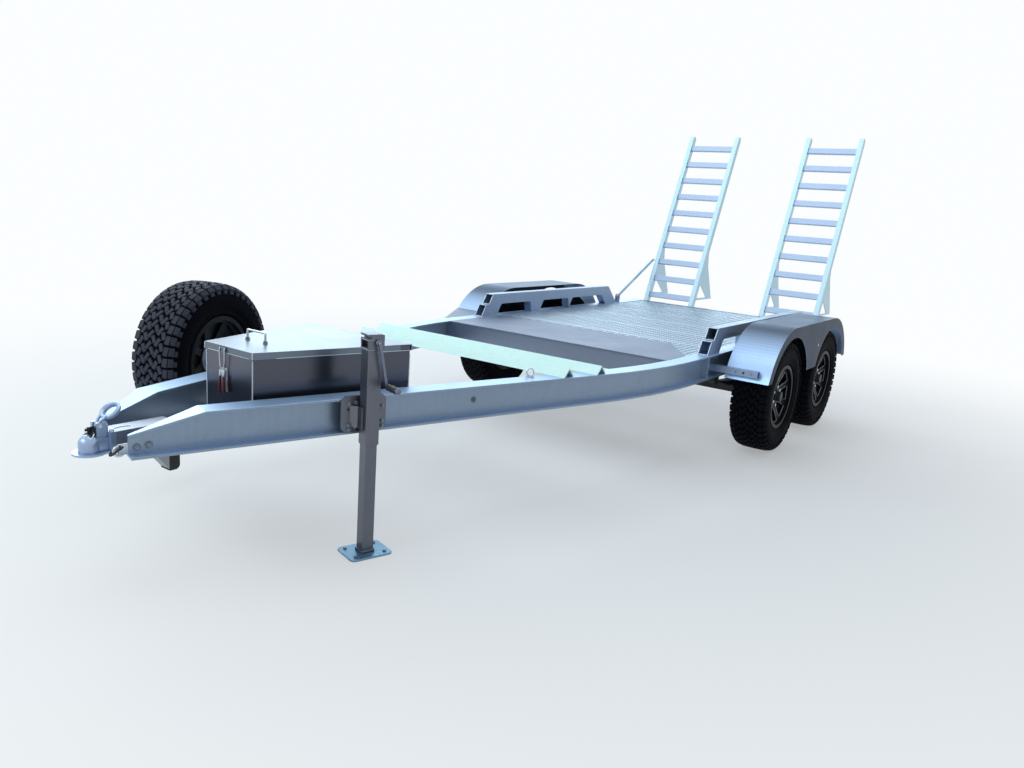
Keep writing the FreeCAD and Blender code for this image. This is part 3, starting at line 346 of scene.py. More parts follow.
def bar_stub(radius, height, base=0.0, facets=24, chamfer=0.0):
    """A round or many-sided bar that stands on its base along Z, its top edge broken."""
    bar = primitive(bpy.ops.mesh.primitive_cylinder_add, vertices=facets, radius=radius, depth=height,
                    location=(0, 0, base + height / 2))
    bpy.ops.object.transform_apply()
    if chamfer:
        edit_all(bar)
        pick(bar, lambda co: co.z > base + height * 0.9)
        bpy.ops.mesh.bevel(offset=chamfer, segments=1)
        edit_done()
    return bar


def hex_bolt(across, height, washer_radius, washer_thick=0.002, stud=0.0):
    """A hexagon head or nut on a flat washer that stands on Z = 0, with the end of its stud."""
    parts = [bar_stub(across / math.sqrt(3), height, washer_thick, 6, height * 0.14),
             bar_stub(washer_radius, washer_thick, 0, 20, washer_thick * 0.3)]
    if stud:
        parts.append(bar_stub(across * 0.3, height + stud, washer_thick, 12, 0.0008))
    return joined_pieces(parts)


def facing(point, direction, turn=0.0):
    """Stands what is drawn along Z on a point, looking in a direction."""
    aim = Vector(direction).to_track_quat("Z", "Y").to_matrix().to_4x4()
    return Matrix.Translation(point) @ aim @ Matrix.Rotation(turn, 4, "Z")


def placed(piece, spot):
    piece.data.transform(spot)
    return piece


def copies_at(master, spots):
    """The master's shape at each spot, as one piece; the master is put away."""
    parts = [placed(in_scene("part", master.data.copy()), spot) for spot in spots]
    bpy.data.objects.remove(master)
    return joined_pieces(parts)


# Painted light: the beams' faces that look up are painted paler than the webs.
beam_finish = drawn_metal("extruded_beam", (0.29, 0.37, 0.48), 0.60, 0.40, (0.6, 0.6, 0.02), 90, 0.05, 0.03,
                          painted_up_tone=(0.36, 0.52, 0.76))
for node in ("left_main_beam", "right_main_beam"):
    softened(node, beam_finish, 0.0015, smooth=9)

bolt_finish = drawn_metal("dull_zinc", (0.22, 0.26, 0.32), 0.8, 0.4, (1, 1, 1), 120, 0.1, 0.1, 0.5)
drawbar_turn, web_face_y = math.radians(16.7001), 0.876
nose_bolts = ((3.174, 0.1167, 0.535, 0.2), (3.136, 0.1281, 0.539, 0.6))
fitting_x, fitting_y, fitting_z = 1.8059, 0.5272, 0.5787
web_bolt_x, web_bolt_z = -0.2095, 0.6157
for side, hand in sides:
    beam = hand + "_main_beam"
    outward = (math.sin(drawbar_turn), side * math.cos(drawbar_turn), 0)
    spots = [facing((x, side * y, z), outward, turn) for x, y, z, turn in nose_bolts]
    fixed(copies_at(hex_bolt(0.019, 0.008, 0.0135, 0.003, 0.004), spots), hand + "_nose_bolts", beam,
          bolt_finish)
    web_fitting = joined_pieces([hex_bolt(0.022, 0.005, 0.014, 0.002), bar_stub(0.006, 0.016, 0, 16, 0.001)])
    fixed(placed(web_fitting, facing((fitting_x, side * fitting_y, fitting_z), outward)), hand + "_web_fitting",
          beam, bolt_finish)
    web_bolt = hex_bolt(0.019, 0.008, 0.013, 0.002, 0.004)
    fixed(placed(web_bolt, facing((web_bolt_x, side * web_face_y, web_bolt_z), (0, side, 0))), hand + "_web_bolt",
          beam, bolt_finish)


# Coupling mount: a box section of bent plate between the two noses, welded in and galvanised with the
# skid plate below it. A block of moulded rubber sits behind the skid to take the knocks.
mount_finish = drawn_metal("galvanised_mount", (0.30, 0.34, 0.42), 0.75, 0.45, (1, 1, 1), 60, 0.14, 0.2, 0.6)
softened("coupling_mount", mount_finish, 0.0015)
skid_finish = drawn_metal("skid_plate_metal", (0.36, 0.38, 0.40), 0.6, 0.5, (1, 1, 0.2), 120, 0.1, 0.2)
softened("skid_plate", skid_finish, 0.001)

rubber_finish, rubber_tree, rubber_shader = new_finish("moulded_rubber", {"Roughness": 0.62})
rubber_place = shader_node(rubber_tree, "TexCoord", {})
speckle = shader_node(rubber_tree, "TexNoise", {
    "Vector": rubber_place.outputs["Object"], "Scale": 90, "Detail": 5}).outputs["Fac"]
rubber_tree.links.new(blend_colours(rubber_tree, speckle, (0.012, 0.012, 0.014), (0.030, 0.030, 0.034)),
                      rubber_shader.inputs["Base Color"])
fine_relief(rubber_tree, rubber_shader, speckle, 0.25, 0.0006)
softened("skid_block", rubber_finish, 0.003)


# Tow coupling: cast and galvanised ball housing with its lever, ring handle and safety shackles. The
# casting is slightly rough all over, and the latch and spring under the lever are dark oiled steel.
def plate_bar(low, high, edge=0.001, rounds=1):
    """A bar of plate between two corners, its edges broken."""
    middle = [(a + b) / 2 for a, b in zip(low, high)]
    bar = primitive(bpy.ops.mesh.primitive_cube_add, size=1, location=middle)
    bar.scale = [b - a for a, b in zip(low, high)]
    bpy.ops.object.transform_apply()
    edit_all(bar)
    bpy.ops.mesh.bevel(offset=edge, segments=rounds)
    edit_done()
    return bar


def bent_rod(points, radius, closed=False, rounds=3, order=3):
    """A round bar bent through the points, its corners drawn round."""
    bpy.ops.object.select_all(action="DESELECT")
    curve = bpy.data.curves.new("bent_rod", "CURVE")
    curve.dimensions = "3D"
    line = curve.splines.new("NURBS")
    line.points.add(len(points) - 1)
    for spot, point in zip(line.points, points):
        spot.co = (point[0], point[1], point[2], 1)
    line.order_u = order
    line.use_cyclic_u = closed
    line.use_endpoint_u = not closed
    line.resolution_u = 5
    curve.bevel_depth = radius
    curve.bevel_resolution = rounds
    curve.use_fill_caps = not closed
    rod = in_scene("bent_rod", curve)
    select_only(rod)
    bpy.ops.object.convert(target="MESH")
    rod = bpy.context.object
    edit_all(rod)
    bpy.ops.mesh.remove_doubles(threshold=radius * 0.01)
    bpy.ops.mesh.normals_make_consistent(inside=False)
    edit_done()
    return rod


def ring_bar(radius, thickness, spot, stretch=1.0):
    """A closed ring about Z, drawn out along its axis and flared at its top, at a place."""
    ring = primitive(bpy.ops.mesh.primitive_torus_add, major_segments=40, minor_segments=14,
                     major_radius=radius, minor_radius=thickness)
    edit_all(ring)
    bpy.ops.transform.resize(value=(1, 1, stretch))
    pick(ring, lambda co: co.z > thickness * stretch * 0.4)
    bpy.ops.transform.resize(value=(1.10, 1.10, 1), center_override=(0, 0, 0))
    edit_done()
    return placed(ring, spot)


cast_finish = drawn_metal("galvanised_casting", (0.38, 0.49, 0.68), 0.65, 0.36, (1, 1, 1), 150, 0.10, 0.35, 0.6)
zinc_finish = drawn_metal("bright_zinc", (0.55, 0.60, 0.66), 0.85, 0.28, (1, 1, 1), 200, 0.06, 0.1, 0.4)
dark_finish = drawn_metal("oiled_steel", (0.022, 0.026, 0.034), 0.5, 0.34, (1, 1, 1), 160, 0.2, 0.2, 0.4)
ball_x, ball_z, pivot_x, pivot_z = 3.2794, 0.5405, 3.2494, 0.6025
softened("tow_coupling", cast_finish, 0.0012, smooth=50)

lever_parts = [ring_bar(0.0290, 0.0072, facing((pivot_x - 0.050, 0, pivot_z + 0.044), (0.62, 0.10, 0.78)), 1.45)]
for y in (-0.0085, 0.0085):
    lever_parts.append(bent_rod([(pivot_x + 0.004, y * 0.6, pivot_z - 0.004),
                                 (pivot_x - 0.004, y, pivot_z + 0.012),
                                 (pivot_x - 0.016, y * 1.6, pivot_z + 0.022),
                                 (pivot_x - 0.026, y * 2.2, pivot_z + 0.034)], 0.0052))
lever_parts.append(placed(bar_stub(0.0058, 0.052, 0, 20, 0.001), facing((pivot_x, -0.026, pivot_z), (0, 1, 0))))
fixed(joined_pieces(lever_parts), "lever_and_ring", "coupling_lever", cast_finish, 50, True)

mouth = facing((ball_x + 0.004, 0.004, ball_z + 0.028), (0.62, 0.22, 0.75))
fixed(ring_bar(0.0185, 0.0032, mouth), "housing_mouth_rim", "tow_coupling", zinc_finish, 50)
coil_turns, coil_radius, coil_height, turn_points = 6, 0.0058, 0.028, 8
coil = []
for step in range(coil_turns * turn_points + 1):
    angle = step * math.tau / turn_points
    coil.append((coil_radius * math.cos(angle), coil_radius * math.sin(angle),
                 step * coil_height / (coil_turns * turn_points)))
latch_steel = [
    placed(bar_stub(0.0165, 0.009, -0.004, 28, 0.001), mouth),
    plate_bar((ball_x - 0.020, -0.0045, ball_z + 0.030), (ball_x + 0.004, 0.0045, ball_z + 0.060), 0.0015),
    plate_bar((ball_x - 0.004, -0.0030, ball_z + 0.046), (ball_x + 0.012, 0.0030, ball_z + 0.056), 0.0012),
    placed(bent_rod(coil, 0.0012, rounds=1), facing((ball_x - 0.004, 0.012, ball_z + 0.034), (-0.5, 0, 0.86)))]
fixed(joined_pieces(latch_steel), "ball_latch_and_spring", "tow_coupling", dark_finish, 40)
neck_x, neck_y, neck_top = 3.2144, 0.030, 0.580
neck_bolts = [facing((pivot_x, side * 0.020, pivot_z), (0, side, 0)) for side in (1, -1)]
neck_bolts += [facing((neck_x, side * neck_y, neck_top), (0, 0, 1)) for side in (1, -1)]
tail_rod = bent_rod([(3.206, 0.034, 0.590), (3.190, 0.034, 0.594), (3.165, 0.034, 0.592),
                     (3.150, 0.034, 0.590)], 0.003)
fixed(joined_pieces([copies_at(hex_bolt(0.013, 0.006, 0.009, 0.0015, 0.003), neck_bolts), tail_rod]),
      "coupling_bolts", "tow_coupling", zinc_finish, 40)

softened("safety_shackles", zinc_finish, 0.0006, smooth=60)
shackle_x, shackle_y, shackle_z, shackle_yaw, shackle_tip = 3.2244, 0.1055, 0.541, -0.5, -0.95
bow_half = [(-0.012, 0.010), (-0.0125, -0.004), (-0.019, -0.018), (-0.020, -0.032), (-0.012, -0.042)]
bow_line = bow_half + [(-y, z) for y, z in bow_half[::-1]]
bows = []
for side in (-1, 1):
    spot = (Matrix.Translation((shackle_x, side * shackle_y, shackle_z))
            @ Matrix.Rotation(side * shackle_yaw, 4, "Z") @ Matrix.Rotation(shackle_tip, 4, "Y"))
    bows += [placed(bent_rod([(0, side * y, z) for y, z in bow_line], 0.0042), spot),
             placed(bar_stub(0.0048, 0.036, -0.018, 16, 0.001), spot @ Matrix.Rotation(math.pi / 2, 4, "X"))]
fixed(joined_pieces(bows), "shackle_bows", "safety_shackles", dark_finish, 50)


# Toolbox: folded and welded from thin aluminium sheet with a brushed face, and a lid folded down over
# its rim on a long hinge. Its bottom rests on two bars across the drawbar.
def repeated(piece, step, count, merged=False):
    """Repeats all of the piece by a step, so that there are count of it."""
    modified(piece, "ARRAY", use_relative_offset=False, use_constant_offset=True,
             constant_offset_displace=step, count=count, use_merge_vertices=merged)


def weld_run(start, end, radius=0.0035, pitch=0.0045):
    """Overlapping ripples laid from start to end, as a hand weld leaves them."""
    start, end = Vector(start), Vector(end)
    run = primitive(bpy.ops.mesh.primitive_uv_sphere_add, segments=8, ring_count=4, radius=radius)
    edit_all(run)
    pick(run, lambda co: abs(co.z) < radius * 0.1)
    bpy.ops.transform.translate(value=(0, 0, radius * 0.35))
    edit_done()
    repeated(run, (0, 0, pitch), max(2, round((end - start).length / pitch)))
    return placed(run, facing(start, end - start))


# Painted shade and light: the box and its lid are shaded and lit copies of one brushed sheet. The box is darker,
# with its upright side faces darker still, and the lid is lighter for the light on its top.
shaded_brushed_finish = drawn_metal("shaded_brushed_sheet", (0.12, 0.13, 0.165), 0.95, 0.24, (0.06, 0.06, 3.0), 330, 0.08, 0.06,
                             painted_side_tone=(0.080, 0.088, 0.112))
lit_lid_finish = drawn_metal("lit_brushed_lid", (0.15, 0.185, 0.235), 0.85, 0.34, (0.2, 3.0, 3.0), 300, 0.08, 0.06)
weld_finish = drawn_metal("weld_metal", (0.62, 0.68, 0.75), 0.7, 0.34, (1, 1, 1), 160, 0.12, 0.1, 0.2)
softened("toolbox", shaded_brushed_finish, 0.0008)
softened("toolbox_lid", lit_lid_finish, 0.0008)
softened("toolbox_supports", beam_finish, 0.001)

box_front, box_rear, box_front_half, box_rear_half = 2.7194, 2.0394, 0.1480, 0.3361
box_foot, lid_foot, lid_edge_z, lid_out = 0.521, 0.801, 0.8005, 0.0052
box_seams, lid_seams, hem = [], [], []
for side in (-1, 1):
    for x, half, top in ((box_front, box_front_half, 0.796), (box_rear, box_rear_half, 0.786)):
        box_seams.append(weld_run((x, side * half, box_foot), (x, side * half, top), 0.003))
    lid_corner = (box_front + lid_out, side * (box_front_half + lid_out))
    lid_seams.append(weld_run((*lid_corner, lid_foot), (*lid_corner, 0.825), 0.0025, 0.0035))
    hem_side = [(box_rear - 0.004, side * (box_rear_half + 0.005), lid_edge_z),
                (box_front + 0.0055, side * (box_front_half + 0.0055), lid_edge_z)]
    hem += hem_side[::-side]
fixed(joined_pieces(box_seams), "box_corner_welds", "toolbox", weld_finish, 60)
fixed(joined_pieces(lid_seams), "lid_corner_welds", "toolbox_lid", weld_finish, 60)
fixed(bent_rod(hem, 0.0018, rounds=2, order=2), "lid_hemmed_edge", "toolbox_lid", zinc_finish)

handle_x, handle_y, handle_half, lid_top, handle_rise, handle_bend = 2.5594, -0.042, 0.058, 0.827, 0.042, 0.007
foot_y, handle_top = handle_y - handle_half, lid_top + handle_rise
handle_line = [(handle_x, foot_y, lid_top + 0.001), (handle_x, foot_y, handle_top - handle_bend),
               (handle_x, foot_y, handle_top), (handle_x, foot_y + handle_bend, handle_top)]
handle_line += [(x, 2 * handle_y - y, z) for x, y, z in handle_line[::-1]]
handle_feet = [facing((handle_x, handle_y + side * handle_half, lid_top), (0, 0, 1)) for side in (-1, 1)]
fixed(bent_rod(handle_line, 0.0046, rounds=4), "handle_rod", "lid_handle", zinc_finish, 50, True)
fixed(copies_at(hex_bolt(0.015, 0.010, 0.012, 0.002), handle_feet), "handle_nuts", "lid_handle", bolt_finish)


# Toggle latch on the box's front: two wire hooks reach up over the lid's keeper, and two pressed levers
# dipped in dark red plastic draw them tight against a riveted base plate.
def clouded_plastic(name, roughness, dark, light):
    finish, tree, shader = new_finish(name, {"Roughness": roughness})
    grain = shader_node(tree, "Group", {}, node_tree=grain_group)
    tree.links.new(blend_colours(tree, grain.outputs["Clouds"], dark, light), shader.inputs["Base Color"])
    return finish


grip_finish = clouded_plastic("dipped_grip", 0.38, (0.060, 0.006, 0.014), (0.170, 0.020, 0.036))
latch_x, latch_y, grip_pivot_z, grip_lean = box_front, -0.028, 0.70, 0.09
latch_parts = [plate_bar((latch_x, latch_y - 0.018, 0.641), (latch_x + 0.003, latch_y + 0.018, 0.738)),
               plate_bar((latch_x + 0.003, latch_y - 0.016, 0.704), (latch_x + 0.014, latch_y + 0.016, 0.732),
                         0.003, 2)]
grips = []
for side in (-1, 1):
    y, top_y = latch_y + side * 0.011, latch_y + side * 0.016
    hook = [(0.009, y, 0.722), (0.0125, y, 0.742), (0.0125, y + side * 0.004, 0.760), (0.0135, top_y, 0.790),
            (0.0135, top_y, 0.812), (0.0125, top_y, 0.8185), (0.0080, top_y, 0.8185)]
    latch_parts += [bent_rod([(latch_x + out, across, z) for out, across, z in hook], 0.0023),
                    plate_bar((latch_x + 0.011, y - 0.004, 0.690), (latch_x + 0.017, y + 0.004, 0.730), 0.0015)]
    grip = plate_bar((latch_x + 0.009, y - 0.0065, 0.634 + side * 0.004), (latch_x + 0.021, y + 0.0065, 0.706),
                     0.004, 2)
    edit_all(grip)
    pick(grip, lambda co: co.z > 0.690)
    bpy.ops.transform.resize(value=(0.8, 0.7, 1), center_override=(latch_x + 0.014, y, grip_pivot_z))
    edit_done()
    grips.append(placed(grip, Matrix.Translation((0, y, grip_pivot_z)) @ Matrix.Rotation(side * grip_lean, 4, "X")
                        @ Matrix.Translation((0, -y, -grip_pivot_z))))
rivets = [facing((latch_x + 0.003, latch_y + y, z), (1, 0, 0))
          for y in (-0.0125, 0.0125) for z in (0.647, 0.698)]
latch_parts.append(copies_at(hex_bolt(0.007, 0.0025, 0.005, 0.001), rivets))
fixed(joined_pieces(latch_parts), "latch_body_and_hooks", "toolbox_latch", zinc_finish, 40, True)
fixed(joined_pieces(grips), "latch_grips", "toolbox_latch", grip_finish, 40)


# Jack: square steel tube and gear case in galvanised steel, bolted to the beam's flange edges through a
# folded mount, with a bevel gear pair in the open case, a bright crank and a zinc-plated foot.
jack_finish = drawn_metal("galvanised_tube", (0.145, 0.155, 0.185), 0.85, 0.36, (1, 1, 0.05), 300, 0.12, 0.12,
                          0.5)
for node, corner in (("jack_tube", 0.0035), ("jack_leg", 0.003), ("jack_gearhead", 0.0015),
                     ("jack_mount", 0.0015)):
    softened(node, jack_finish, corner)
foot_finish = drawn_metal("blue_zinc_plate", (0.17, 0.33, 0.47), 0.7, 0.34, (1, 1, 1), 140, 0.10, 0.1, 0.4)
softened("jack_foot", foot_finish, 0.0015)
at_jack = Matrix.Translation((2.3924, 0.4567, 0)) @ Matrix.Rotation(-drawbar_turn, 4, "Z")
foot_top, socket_half = 0.008, 0.031
foot_corners = [facing((x, y, foot_top), (0, 0, 1)) for x in (-0.066, 0.066) for y in (-0.048, 0.048)]
foot_socket = plate_bar((-socket_half, -socket_half, foot_top), (socket_half, socket_half, 0.020), 0.003, 2)
foot_bolts = copies_at(hex_bolt(0.011, 0.004, 0.008, 0.0015), foot_corners)
fixed(placed(joined_pieces([foot_socket, foot_bolts]), at_jack), "foot_socket_and_bolts", "jack_foot",
      jack_finish)

case_out = 0.0335
case_plates = [plate_bar((-0.030, -case_out, 0.9195), (case_out, case_out, 0.9235), 0.0008)]
for low, high in ((0.8965, 0.9005), (0.8585, 0.8635)):
    case_plates.append(plate_bar((0.004, -0.0345, low), (case_out, 0.0345, high), 0.0008))
fixed(placed(joined_pieces(case_plates), at_jack), "gear_case_plates", "jack_gearhead", bolt_finish)


def bevel_gear(radius, height, teeth, spot):
    """A low cone with every second face of its wall pulled out into a tooth."""
    gear = bar_stub(radius * 0.82, height, -height / 2, teeth * 2)
    edit_all(gear)
    pick(gear, lambda co: co.z > 0)
    bpy.ops.transform.resize(value=(0.6, 0.6, 1), center_override=(0, 0, 0))
    bpy.ops.mesh.select_all(action="DESELECT")
    edit_done()
    walls = sorted((face for face in gear.data.polygons if len(face.vertices) == 4),
                   key=lambda face: math.atan2(face.center.y, face.center.x))
    for face in walls[::2]:
        face.select = True
    bpy.ops.object.mode_set(mode="EDIT")
    bpy.ops.mesh.select_mode(type="FACE")
    bpy.ops.mesh.extrude_faces_move(TRANSFORM_OT_shrink_fatten={"value": -radius * 0.18})
    bpy.ops.mesh.select_all(action="SELECT")
    bpy.ops.mesh.normals_make_consistent(inside=False)
    edit_done()
    return placed(gear, spot)


pinion_spot = Matrix.Translation((0.014, 0.012, 0.884)) @ Matrix.Rotation(math.pi / 2, 4, "X")
gears = [bevel_gear(0.018, 0.010, 12, Matrix.Translation((0.012, 0, 0.874))),
         bevel_gear(0.013, 0.010, 9, pinion_spot)]
fixed(placed(joined_pieces(gears), at_jack), "jack_bevel_gears", "jack_gearhead", dark_finish)

crank_x, crank_z, crank_out, crank_reach = -0.008, 0.890, 0.0535, 0.178
end_x, end_z = crank_x - 0.200 * crank_reach, crank_z - 0.980 * crank_reach
crank_finish = drawn_metal("bright_crank", (0.16, 0.19, 0.26), 0.90, 0.26, (1, 1, 0.1), 160, 0.08, 0.08, 0.3)
crank_line = [(crank_x, 0.010, crank_z), (crank_x, 0.036, crank_z), (crank_x, crank_out - 0.003, crank_z),
              (crank_x - 0.001, crank_out, crank_z - 0.008), (crank_x - 0.010, crank_out, crank_z - 0.049),
              (end_x + 0.003, crank_out, end_z + 0.014), (end_x, crank_out + 0.001, end_z),
              (end_x, crank_out + 0.014, end_z), (end_x, crank_out + 0.086, end_z)]
crank_parts = [bent_rod(crank_line, 0.0060, rounds=4),
               placed(bar_stub(0.0120, 0.012, 0, 20, 0.001), facing((crank_x, 0.034, crank_z), (0, 1, 0))),
               placed(bar_stub(0.0130, 0.004, 0, 24, 0.001),
                      facing((end_x, crank_out + 0.088, end_z), (0, 1, 0)))]
fixed(placed(joined_pieces(crank_parts), at_jack), "crank_rod", "jack_crank", crank_finish, 50, True)
black_finish = clouded_plastic("moulded_black_grip", 0.5, (0.008, 0.008, 0.010), (0.020, 0.021, 0.026))
swells = [(0.0, 0.0105), (0.005, 0.0140), (0.016, 0.0126), (0.032, 0.0146), (0.048, 0.0128), (0.064, 0.0148),
          (0.076, 0.0132), (0.080, 0.0115)]
grip_top, grip_radius = swells[1][0], swells[0][1]
handgrip = bar_stub(grip_radius, grip_top, 0, 24)
edit_all(handgrip)
for height, radius in swells[1:]:
    pick(handgrip, lambda co: co.z > grip_top - 0.0001)
    if height > grip_top:
        bpy.ops.mesh.extrude_region_move(TRANSFORM_OT_translate={"value": (0, 0, height - grip_top)})
    share = radius / grip_radius
    bpy.ops.transform.resize(value=(share, share, 1), center_override=(0, 0, height))
    grip_top, grip_radius = height, radius
edit_done()
grip_spot = at_jack @ facing((end_x, crank_out + 0.008, end_z), (0, 1, 0))
fixed(placed(handgrip, grip_spot), "crank_grip", "jack_crank", black_finish, 60)

mount_face = -0.045
mount_bolts = [facing((x, mount_face, z), (0, 1, 0), turn) for x, z, turn in (
    (0.0716, 0.6325, 0.1), (0.0729, 0.5438, 0.5), (0.0696, 0.5259, 0.3), (-0.0804, 0.527, 0.8),
    (-0.0796, 0.6121, 0.2), (-0.0795, 0.5485, 0.9))]
# Painted shade: thin dark discs lie on the mount's face where its holes are, for the shade inside them.
mount_holes = [facing((x, mount_face, z), (0, 1, 0))
               for x, z in ((0.0709, 0.6088), (0.0272, 0.6132), (0.0229, 0.5384))]
for name, shape, finish in (
        ("mount_bolts", copies_at(hex_bolt(0.013, 0.007, 0.0095, 0.002, 0.003), mount_bolts), bolt_finish),
        ("mount_hole_shade_discs", copies_at(bar_stub(0.006, 0.0012, 0, 20, 0.0004), mount_holes), dark_finish),
        ("mount_folded_strip", plate_bar((0.043, mount_face, 0.531), (0.048, mount_face + 0.014, 0.621), 0.001),
         zinc_finish)):
    fixed(placed(shape, at_jack), name, "jack_mount", finish)


# Bucket rest angles, front channel, cross members, tail and plates: extruded and sheet aluminium,
# stitch-welded between the beams. The angles are painted paler and more aqua than the rest, a painted reflection
# of the sky ahead.
# Painted reflection: the angles' finish is pale aqua for the sky ahead caught on their forward faces.
sky_lit_angle_finish = drawn_metal("sky_lit_angle", (0.56, 0.78, 0.76), 0.35, 0.42, (1.0, 0.04, 1.0), 260, 0.06, 0.08)
softened("bucket_angles", sky_lit_angle_finish, 0.001)
frame_finish = drawn_metal("frame_section", (0.23, 0.27, 0.36), 0.85, 0.36, (1.0, 0.05, 1.0), 260, 0.1, 0.1)
for node in ("front_channel", "cross_members", "tail_member"):
    softened(node, frame_finish, 0.0012)
plate_finish = drawn_metal("rolled_plate", (0.15, 0.19, 0.27), 0.55, 0.5, (0.1, 1.0, 1.0), 120, 0.06, 0.06)
for node in ("deck_front_plate", "right_wing_plate"):
    softened(node, plate_finish, 0.001)


# Deck mesh: expanded metal, slit and pulled from one sheet, so every strand leans a little and meets
# the next at a short bond. It is welded down along its edges to the frame.
mesh_rear, mesh_front, mesh_half, mesh_corner_x, mesh_corner_y = -2.5406, -0.2506, 0.822, 0.1344, 0.542
mesh_middle_z, short_way, bond, diamonds_across = 0.6472, 0.037, 0.014, 19
long_way = 2 * mesh_half / diamonds_across
strand_width, strand_thick, strand_lean = 0.0084, 0.0010, math.radians(-5)
strips, strand_points = math.ceil((mesh_corner_x - mesh_rear) / short_way), 6


def strand_row(name, start_x, start_y):
    """One zigzag strand over one long way, leant over, then repeated across and along the deck."""
    row = primitive(bpy.ops.mesh.primitive_grid_add, x_subdivisions=1, y_subdivisions=strand_points - 1, size=1)
    row.name = name
    row.scale = (strand_width, long_way, 1)
    bpy.ops.object.transform_apply()
    edit_all(row)
    half = long_way / 2
    ends = (-half, -half + bond / 2, -bond / 2, bond / 2, half - bond / 2, half)
    for step, end in enumerate(ends):
        now = -half + step * long_way / (strand_points - 1)
        pick(row, lambda co: abs(co.y - now) < long_way / 20)
        bpy.ops.transform.translate(value=(short_way / 2 if step in (2, 3) else 0, end - now, 0))
    bpy.ops.mesh.select_all(action="SELECT")
    bpy.ops.transform.rotate(value=strand_lean, orient_axis="Y", center_override=(short_way / 4, 0, 0))
    bpy.ops.transform.translate(value=(start_x, start_y, mesh_middle_z))
    edit_done()
    repeated(row, (0, long_way, 0), diamonds_across + 2, merged=True)
    repeated(row, (short_way, 0, 0), strips)
    modified(row, "SOLIDIFY", thickness=strand_thick, offset=0)
    return row


expanded = strand_row("deck_expanded_mesh", mesh_rear, -mesh_half - long_way / 2)
odd_rows = strand_row("odd_rows", mesh_rear + short_way / 2, -mesh_half)
joined_pieces([expanded, odd_rows])
edit_all(expanded)
for point, outward in (((mesh_rear, 0, 0), (-1, 0, 0)), ((0, mesh_half, 0), (0, 1, 0)),
                       ((0, -mesh_half, 0), (0, -1, 0))):
    bpy.ops.mesh.select_all(action="SELECT")
    bpy.ops.mesh.bisect(plane_co=point, plane_no=outward, use_fill=True, clear_outer=True)
corner_slope = Vector((mesh_half - mesh_corner_y, mesh_front - mesh_corner_x, 0)).normalized()
bpy.ops.mesh.select_all(action="SELECT")
bpy.ops.mesh.bisect(plane_co=(0, mesh_corner_y, 0), plane_no=(0, 1, 0))
for beside_corner, point, outward in ((False, (mesh_front, 0, 0), (1, 0, 0)),
                                      (True, (mesh_front, mesh_corner_y, 0), corner_slope)):
    pick(expanded, lambda co: ((co.y > mesh_corner_y - same_point) == beside_corner
                               or abs(co.y - mesh_corner_y) < same_point))
    bpy.ops.mesh.bisect(plane_co=point, plane_no=outward, use_fill=True, clear_outer=True)
edit_done()
# Painted light and shade: the strands' faces that look up are painted pale and their sides dark.
mesh_finish = drawn_metal("expanded_metal", (0.15, 0.19, 0.27), 0.4, 0.40, (1, 1, 1), 220, 0.06, 0.04, 0.2, 0.006,
                          painted_up_tone=(0.66, 0.82, 0.96))
carried(expanded, "deck_mesh", True, mesh_finish)


# Side rails: a tube on cut posts along each beam, its front end sawn open on a slant with rims painted bright
# as a highlight, welded down all round. Arms of square tube that carry the mudguards are welded outside the
# beams.
# The faces of rails and arms that look up are painted darker, as painted shade.
# Painted shade: the rails' and arms' faces that look up are painted darker.
rail_finish = drawn_metal("rail_tube", (0.34, 0.43, 0.58), 0.65, 0.36, (0.05, 1.0, 1.0), 260, 0.08, 0.08,
                          painted_up_tone=(0.22, 0.31, 0.42))
for node, edge_round in (("left_side_rail", 0.003), ("right_side_rail", 0.003), ("mudguard_arms", 0.0012)):
    softened(node, rail_finish, edge_round)
# Painted highlight: thin pale rods round the sawn ends stand for the sky caught on the cut edges.
rim_highlight_finish = drawn_metal("sawn_edge_highlight", (0.60, 0.74, 0.84), 0.5, 0.34, (1, 1, 1), 200, 0.06, 0.06, 0.1)
rail_slant, rail_inner, rail_outer, rim_radius = math.tan(math.radians(30)), 0.8415, 0.9025, 0.0026
for side, hand in sides:
    rims = []
    for foot_x, foot_z, low_z, high_z in ((-0.0006, 0.652, 0.655, 0.733), (-0.0841, 0.736, 0.739, 0.808)):
        low_x, high_x = (foot_x - (z - foot_z) * rail_slant for z in (low_z, high_z))
        rim = [(low_x, side * rail_inner, low_z), (low_x, side * rail_outer, low_z),
               (high_x, side * rail_outer, high_z), (high_x, side * rail_inner, high_z)]
        rims.append(bent_rod(rim, rim_radius, closed=True, order=2, rounds=2))
    fixed(joined_pieces(rims), hand + "_rail_sawn_rims", hand + "_side_rail", rim_highlight_finish)
softened("lashing_ring", zinc_finish, 0.0006, smooth=60)


